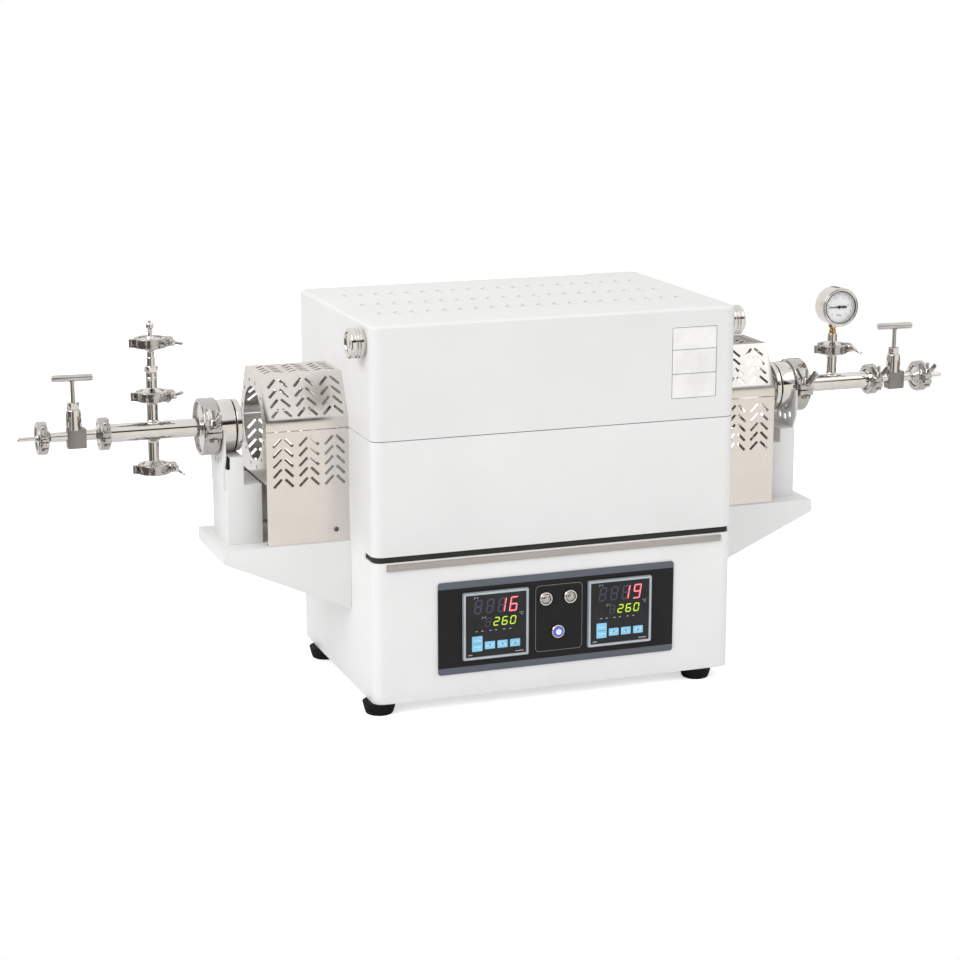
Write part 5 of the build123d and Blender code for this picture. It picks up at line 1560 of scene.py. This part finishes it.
class FURNACE_OT_fasteners(bpy.types.Operator):
    """Hinges, screws, cable gland and the relays on their heat sink"""

    bl_idname = "furnace.fasteners"
    bl_label = "Hinges and fasteners"

    def execute(self, context):
        for node in ("base_hinge_leaves", "lid_hinge_leaves"):
            from_node(node, FINISHES["sheet_long"], 0.25)
        from_node("hinge_pins", FINISHES["turned"])
        from_node("cable_gland", FINISHES["rubber"], 0.3)
        from_node("heat_sink", FINISHES["aluminium"], 0.2)
        from_node("power_relays", FINISHES["relay"], 0.6)
        head = lathe([(0, 0), (0, 3.6), (0.8, 3.6), (1.6, 2.9), (2.0, 1.8), (2.0, 0)], 28, 0.3)
        # Flat black bars on the screw heads in place of cut slots: painted shade of the slots.
        slots = []
        for turn in (0.4, 0.4 + math.pi / 2):
            bar = slab(rounded_rectangle(3.0, 0.7, 0.2, 1), 0.05)
            slots.append((bar, Matrix.Rotation(turn, 4, "Z") @ Matrix.Translation((0, 0, 1.98))))
        guard_y = 70.0
        guard_z = high("side_brackets", "z") + 17.0
        cover_y = high("rear_cover", "y")
        front, back = (math.pi / 2, 0, 0), (-math.pi / 2, 0, 0)
        spots = []
        for x in (-SIDE_X - 19, SIDE_X + 19):
            spots.append(((x, -guard_y, guard_z), front))
            spots.append(((x, guard_y, guard_z), back))
        for x in (low("rear_cover", "x") + 9, high("rear_cover", "x") - 9):
            for z in (low("rear_cover", "z") + 9, high("rear_cover", "z") - 9):
                spots.append(((x, cover_y, z), back))
        repeated(
            "screw_heads", head, spots, FINISHES["dark_steel"], "furnace", ["cover_screws"]
        )
        repeated("screw_slots", join(*slots), spots, FINISHES["ink"], "furnace", ())
        for node, body in (("base_hinge_leaves", "furnace"), ("lid_hinge_leaves", "lid")):
            y = high("lower_shell", "y") + 2.0
            z = (low(node, "z") + 12.0) if body == "furnace" else (high(node, "z") - 12.0)
            leaf = [((side * (180 + shift), y, z), back) for side in (-1, 1) for shift in (-20, 20)]
            small = lathe([(0, 0), (0, 3.2), (0.5, 3.2), (1.2, 2.2), (1.4, 0)], 24, 0.2)
            repeated(f"{body}_hinge_screws", small, leaf, FINISHES["dark_steel"], body, ())
        return {"FINISHED"}


# ---------------------------------------------------------------- studio


class FURNACE_OT_stage(bpy.types.Operator):
    """Pale floor, soft lamps, white surroundings and the camera"""

    bl_idname = "furnace.stage"
    bl_label = "Studio"

    def execute(self, context):
        self.floor()
        self.world()
        self.lamps()
        self.camera()
        context.scene.view_settings.view_transform = "Standard"
        return {"FINISHED"}

    def floor(self):
        """Table top that keeps the shadow and reads white to the camera."""
        mesh = bpy.data.meshes.new("floor")
        left, right, front, back = -1.15, 1.6, -0.75, 4.0
        corners = [(left, front, 0), (right, front, 0), (right, back, 0), (left, back, 0)]
        mesh.from_pydata(corners, [], [(0, 1, 2, 3)])
        floor = bpy.data.objects.new("floor", mesh)
        bpy.context.scene.collection.objects.link(floor)
        material = bpy.data.materials.new("studio floor")
        material.use_nodes = True
        tree = material.node_tree
        shader = tree.nodes["Principled BSDF"]
        shader.inputs["Base Color"].default_value = (*settings().floor_color, 1.0)
        shader.inputs["Roughness"].default_value = 0.9
        shader.inputs["Specular IOR Level"].default_value = 0.0
        shader.inputs["Emission Color"].default_value = (1, 1, 1, 1)
        path = tree.nodes.new("ShaderNodeLightPath")
        seen = Value(tree, path.outputs["Is Camera Ray"]) + Value(tree, path.outputs["Is Transmission Ray"])
        tree.links.new((seen * 0.55).socket, shader.inputs["Emission Strength"])
        mesh.materials.append(material)

    def world(self):
        """White to the eye and in glass, with a darker room behind the camera for metal to mirror."""
        world = bpy.data.worlds.new("studio")
        bpy.context.scene.world = world
        world.use_nodes = True
        tree = world.node_tree
        background = tree.nodes["Background"]
        path = tree.nodes.new("ShaderNodeLightPath")
        seen = Value(tree, path.outputs["Is Camera Ray"]) + Value(tree, path.outputs["Is Transmission Ray"])
        glossy = Value(tree, path.outputs["Is Glossy Ray"]) * (1.0 - seen)
        where = tree.nodes.new("ShaderNodeTexCoord")
        split = tree.nodes.new("ShaderNodeSeparateXYZ")
        tree.links.new(where.outputs["Generated"], split.inputs[0])
        aside, depth, rise = (Value(tree, split.outputs[i]) for i in range(3))

        def held(value, start, end, first, last):
            node = tree.nodes.new("ShaderNodeMapRange")
            node.interpolation_type = "SMOOTHSTEP"
            tree.links.new(value.socket, node.inputs["Value"])
            for label, number in zip(("From Min", "From Max", "To Min", "To Max"), (start, end, first, last)):
                node.inputs[label].default_value = number
            return Value(tree, node.outputs["Result"])

        behind = held(depth, -0.4, -0.2, 1.0, 0.0)
        band = behind * held(rise, 0.19, 0.23, 0.0, 1.0) * held(rise, 0.4, 0.6, 1.0, 0.0)
        leftward = aside * -0.974 + depth * -0.225
        wall = held(leftward, 0.2, 0.42, 0.0, 1.0) * held(rise, 0.19, 0.26, 1.0, 0.0)
        window = held(leftward, 0.7, 0.74, 0.0, 1.0) * held(leftward, 0.82, 0.86, 1.0, 0.0)
        shadowed = wall * (1.0 - window * 0.75)
        corner = held(leftward, -0.6, -0.4, 1.0, 0.0) * held(rise, 0.19, 0.26, 1.0, 0.0)
        doorway = held(leftward, -0.86, -0.82, 0.0, 1.0) * held(leftward, -0.78, -0.74, 1.0, 0.0)
        room = (1.0 - band * 0.97) * (1.0 - shadowed * 0.86) * (1.0 - corner * (1.0 - doorway) * 0.75)
        diffuse = 0.79
        strength = seen + (1.0 - seen) * (glossy * room + (1.0 - glossy) * diffuse)
        tree.links.new(strength.socket, background.inputs["Strength"])
        warm = glossy * held(rise, 0.15, 0.5, 1.0, 0.0)
        tint = tree.nodes.new("ShaderNodeMix")
        tint.data_type = "RGBA"
        tree.links.new(warm.socket, tint.inputs[0])
        tint.inputs[6].default_value = (1, 1, 1, 1)
        tint.inputs[7].default_value = (1.0, 0.955, 0.9, 1)
        tree.links.new(tint.outputs[2], background.inputs["Color"])

    def lamps(self):
        """A soft key from the front left and above, and a weak fill from the right."""
        for name, angles, strength, spread in (
            ("key", (54.8, 0, -66.3), 1.22, 40),
            ("fill", (62.6, 0, 60), 0.4, 60),
        ):
            light = bpy.data.lights.new(name, "SUN")
            light.energy = strength
            light.angle = math.radians(spread)
            lamp = bpy.data.objects.new(name, light)
            lamp.rotation_euler = [math.radians(a) for a in angles]
            bpy.context.scene.collection.objects.link(lamp)

    def camera(self):
        """Camera at the front left, a little above the lid."""
        place_ = Vector((-1.14506, -3.05362, 1.04208))
        turn, down = math.radians(-19.74), math.radians(13.3)
        ahead = Vector((-math.sin(turn) * math.cos(down), math.cos(turn) * math.cos(down), -math.sin(down)))
        data = bpy.data.cameras.new("camera")
        data.sensor_width = 36.0
        data.lens = 87.26
        camera = bpy.data.objects.new("camera", data)
        camera.location = place_
        camera.rotation_euler = ahead.to_track_quat("-Z", "Y").to_euler()
        bpy.context.scene.collection.objects.link(camera)
        bpy.context.scene.camera = camera


# ---------------------------------------------------------------- panel and registration


PIECES = (
    FURNACE_OT_housing,
    FURNACE_OT_feet,
    FURNACE_OT_label,
    FURNACE_OT_knobs,
    FURNACE_OT_panel,
    FURNACE_OT_controllers,
    FURNACE_OT_buttons,
    FURNACE_OT_guards,
    FURNACE_OT_core,
    FURNACE_OT_flanges,
    FURNACE_OT_clamps,
    FURNACE_OT_pipes,
    FURNACE_OT_valves,
    FURNACE_OT_gauge,
    FURNACE_OT_fasteners,
    FURNACE_OT_stage,
)


class FURNACE_PT_sidebar(bpy.types.Panel):
    """Lists the furnace's settings and the operators that build it"""

    bl_idname = "FURNACE_PT_sidebar"
    bl_label = "Furnace"
    bl_space_type = "VIEW_3D"
    bl_region_type = "UI"
    bl_category = "Furnace"

    def draw(self, context):
        column = self.layout.column(align=True)
        for name in FurnaceSettings.__annotations__:
            column.prop(context.scene.furnace, name)
        for piece in PIECES:
            column.operator(piece.bl_idname)


CLASSES = (FurnaceSettings, *PIECES, FURNACE_PT_sidebar)


def register():
    """Register the classes and the scene's settings."""
    for each in CLASSES:
        bpy.utils.register_class(each)
    bpy.types.Scene.furnace = PointerProperty(type=FurnaceSettings)


def unregister():
    """Remove the settings and the classes."""
    del bpy.types.Scene.furnace
    for each in reversed(CLASSES):
        bpy.utils.unregister_class(each)


def main():
    """Build the furnace and its studio."""
    register()
    TREES.update(repeat=repeat_tree(), coil=coil_tree())
    make_finishes(settings())
    for piece in PIECES:
        group, name = piece.bl_idname.split(".")
        getattr(getattr(bpy.ops, group), name)()


if __name__ == "__main__":
    main()
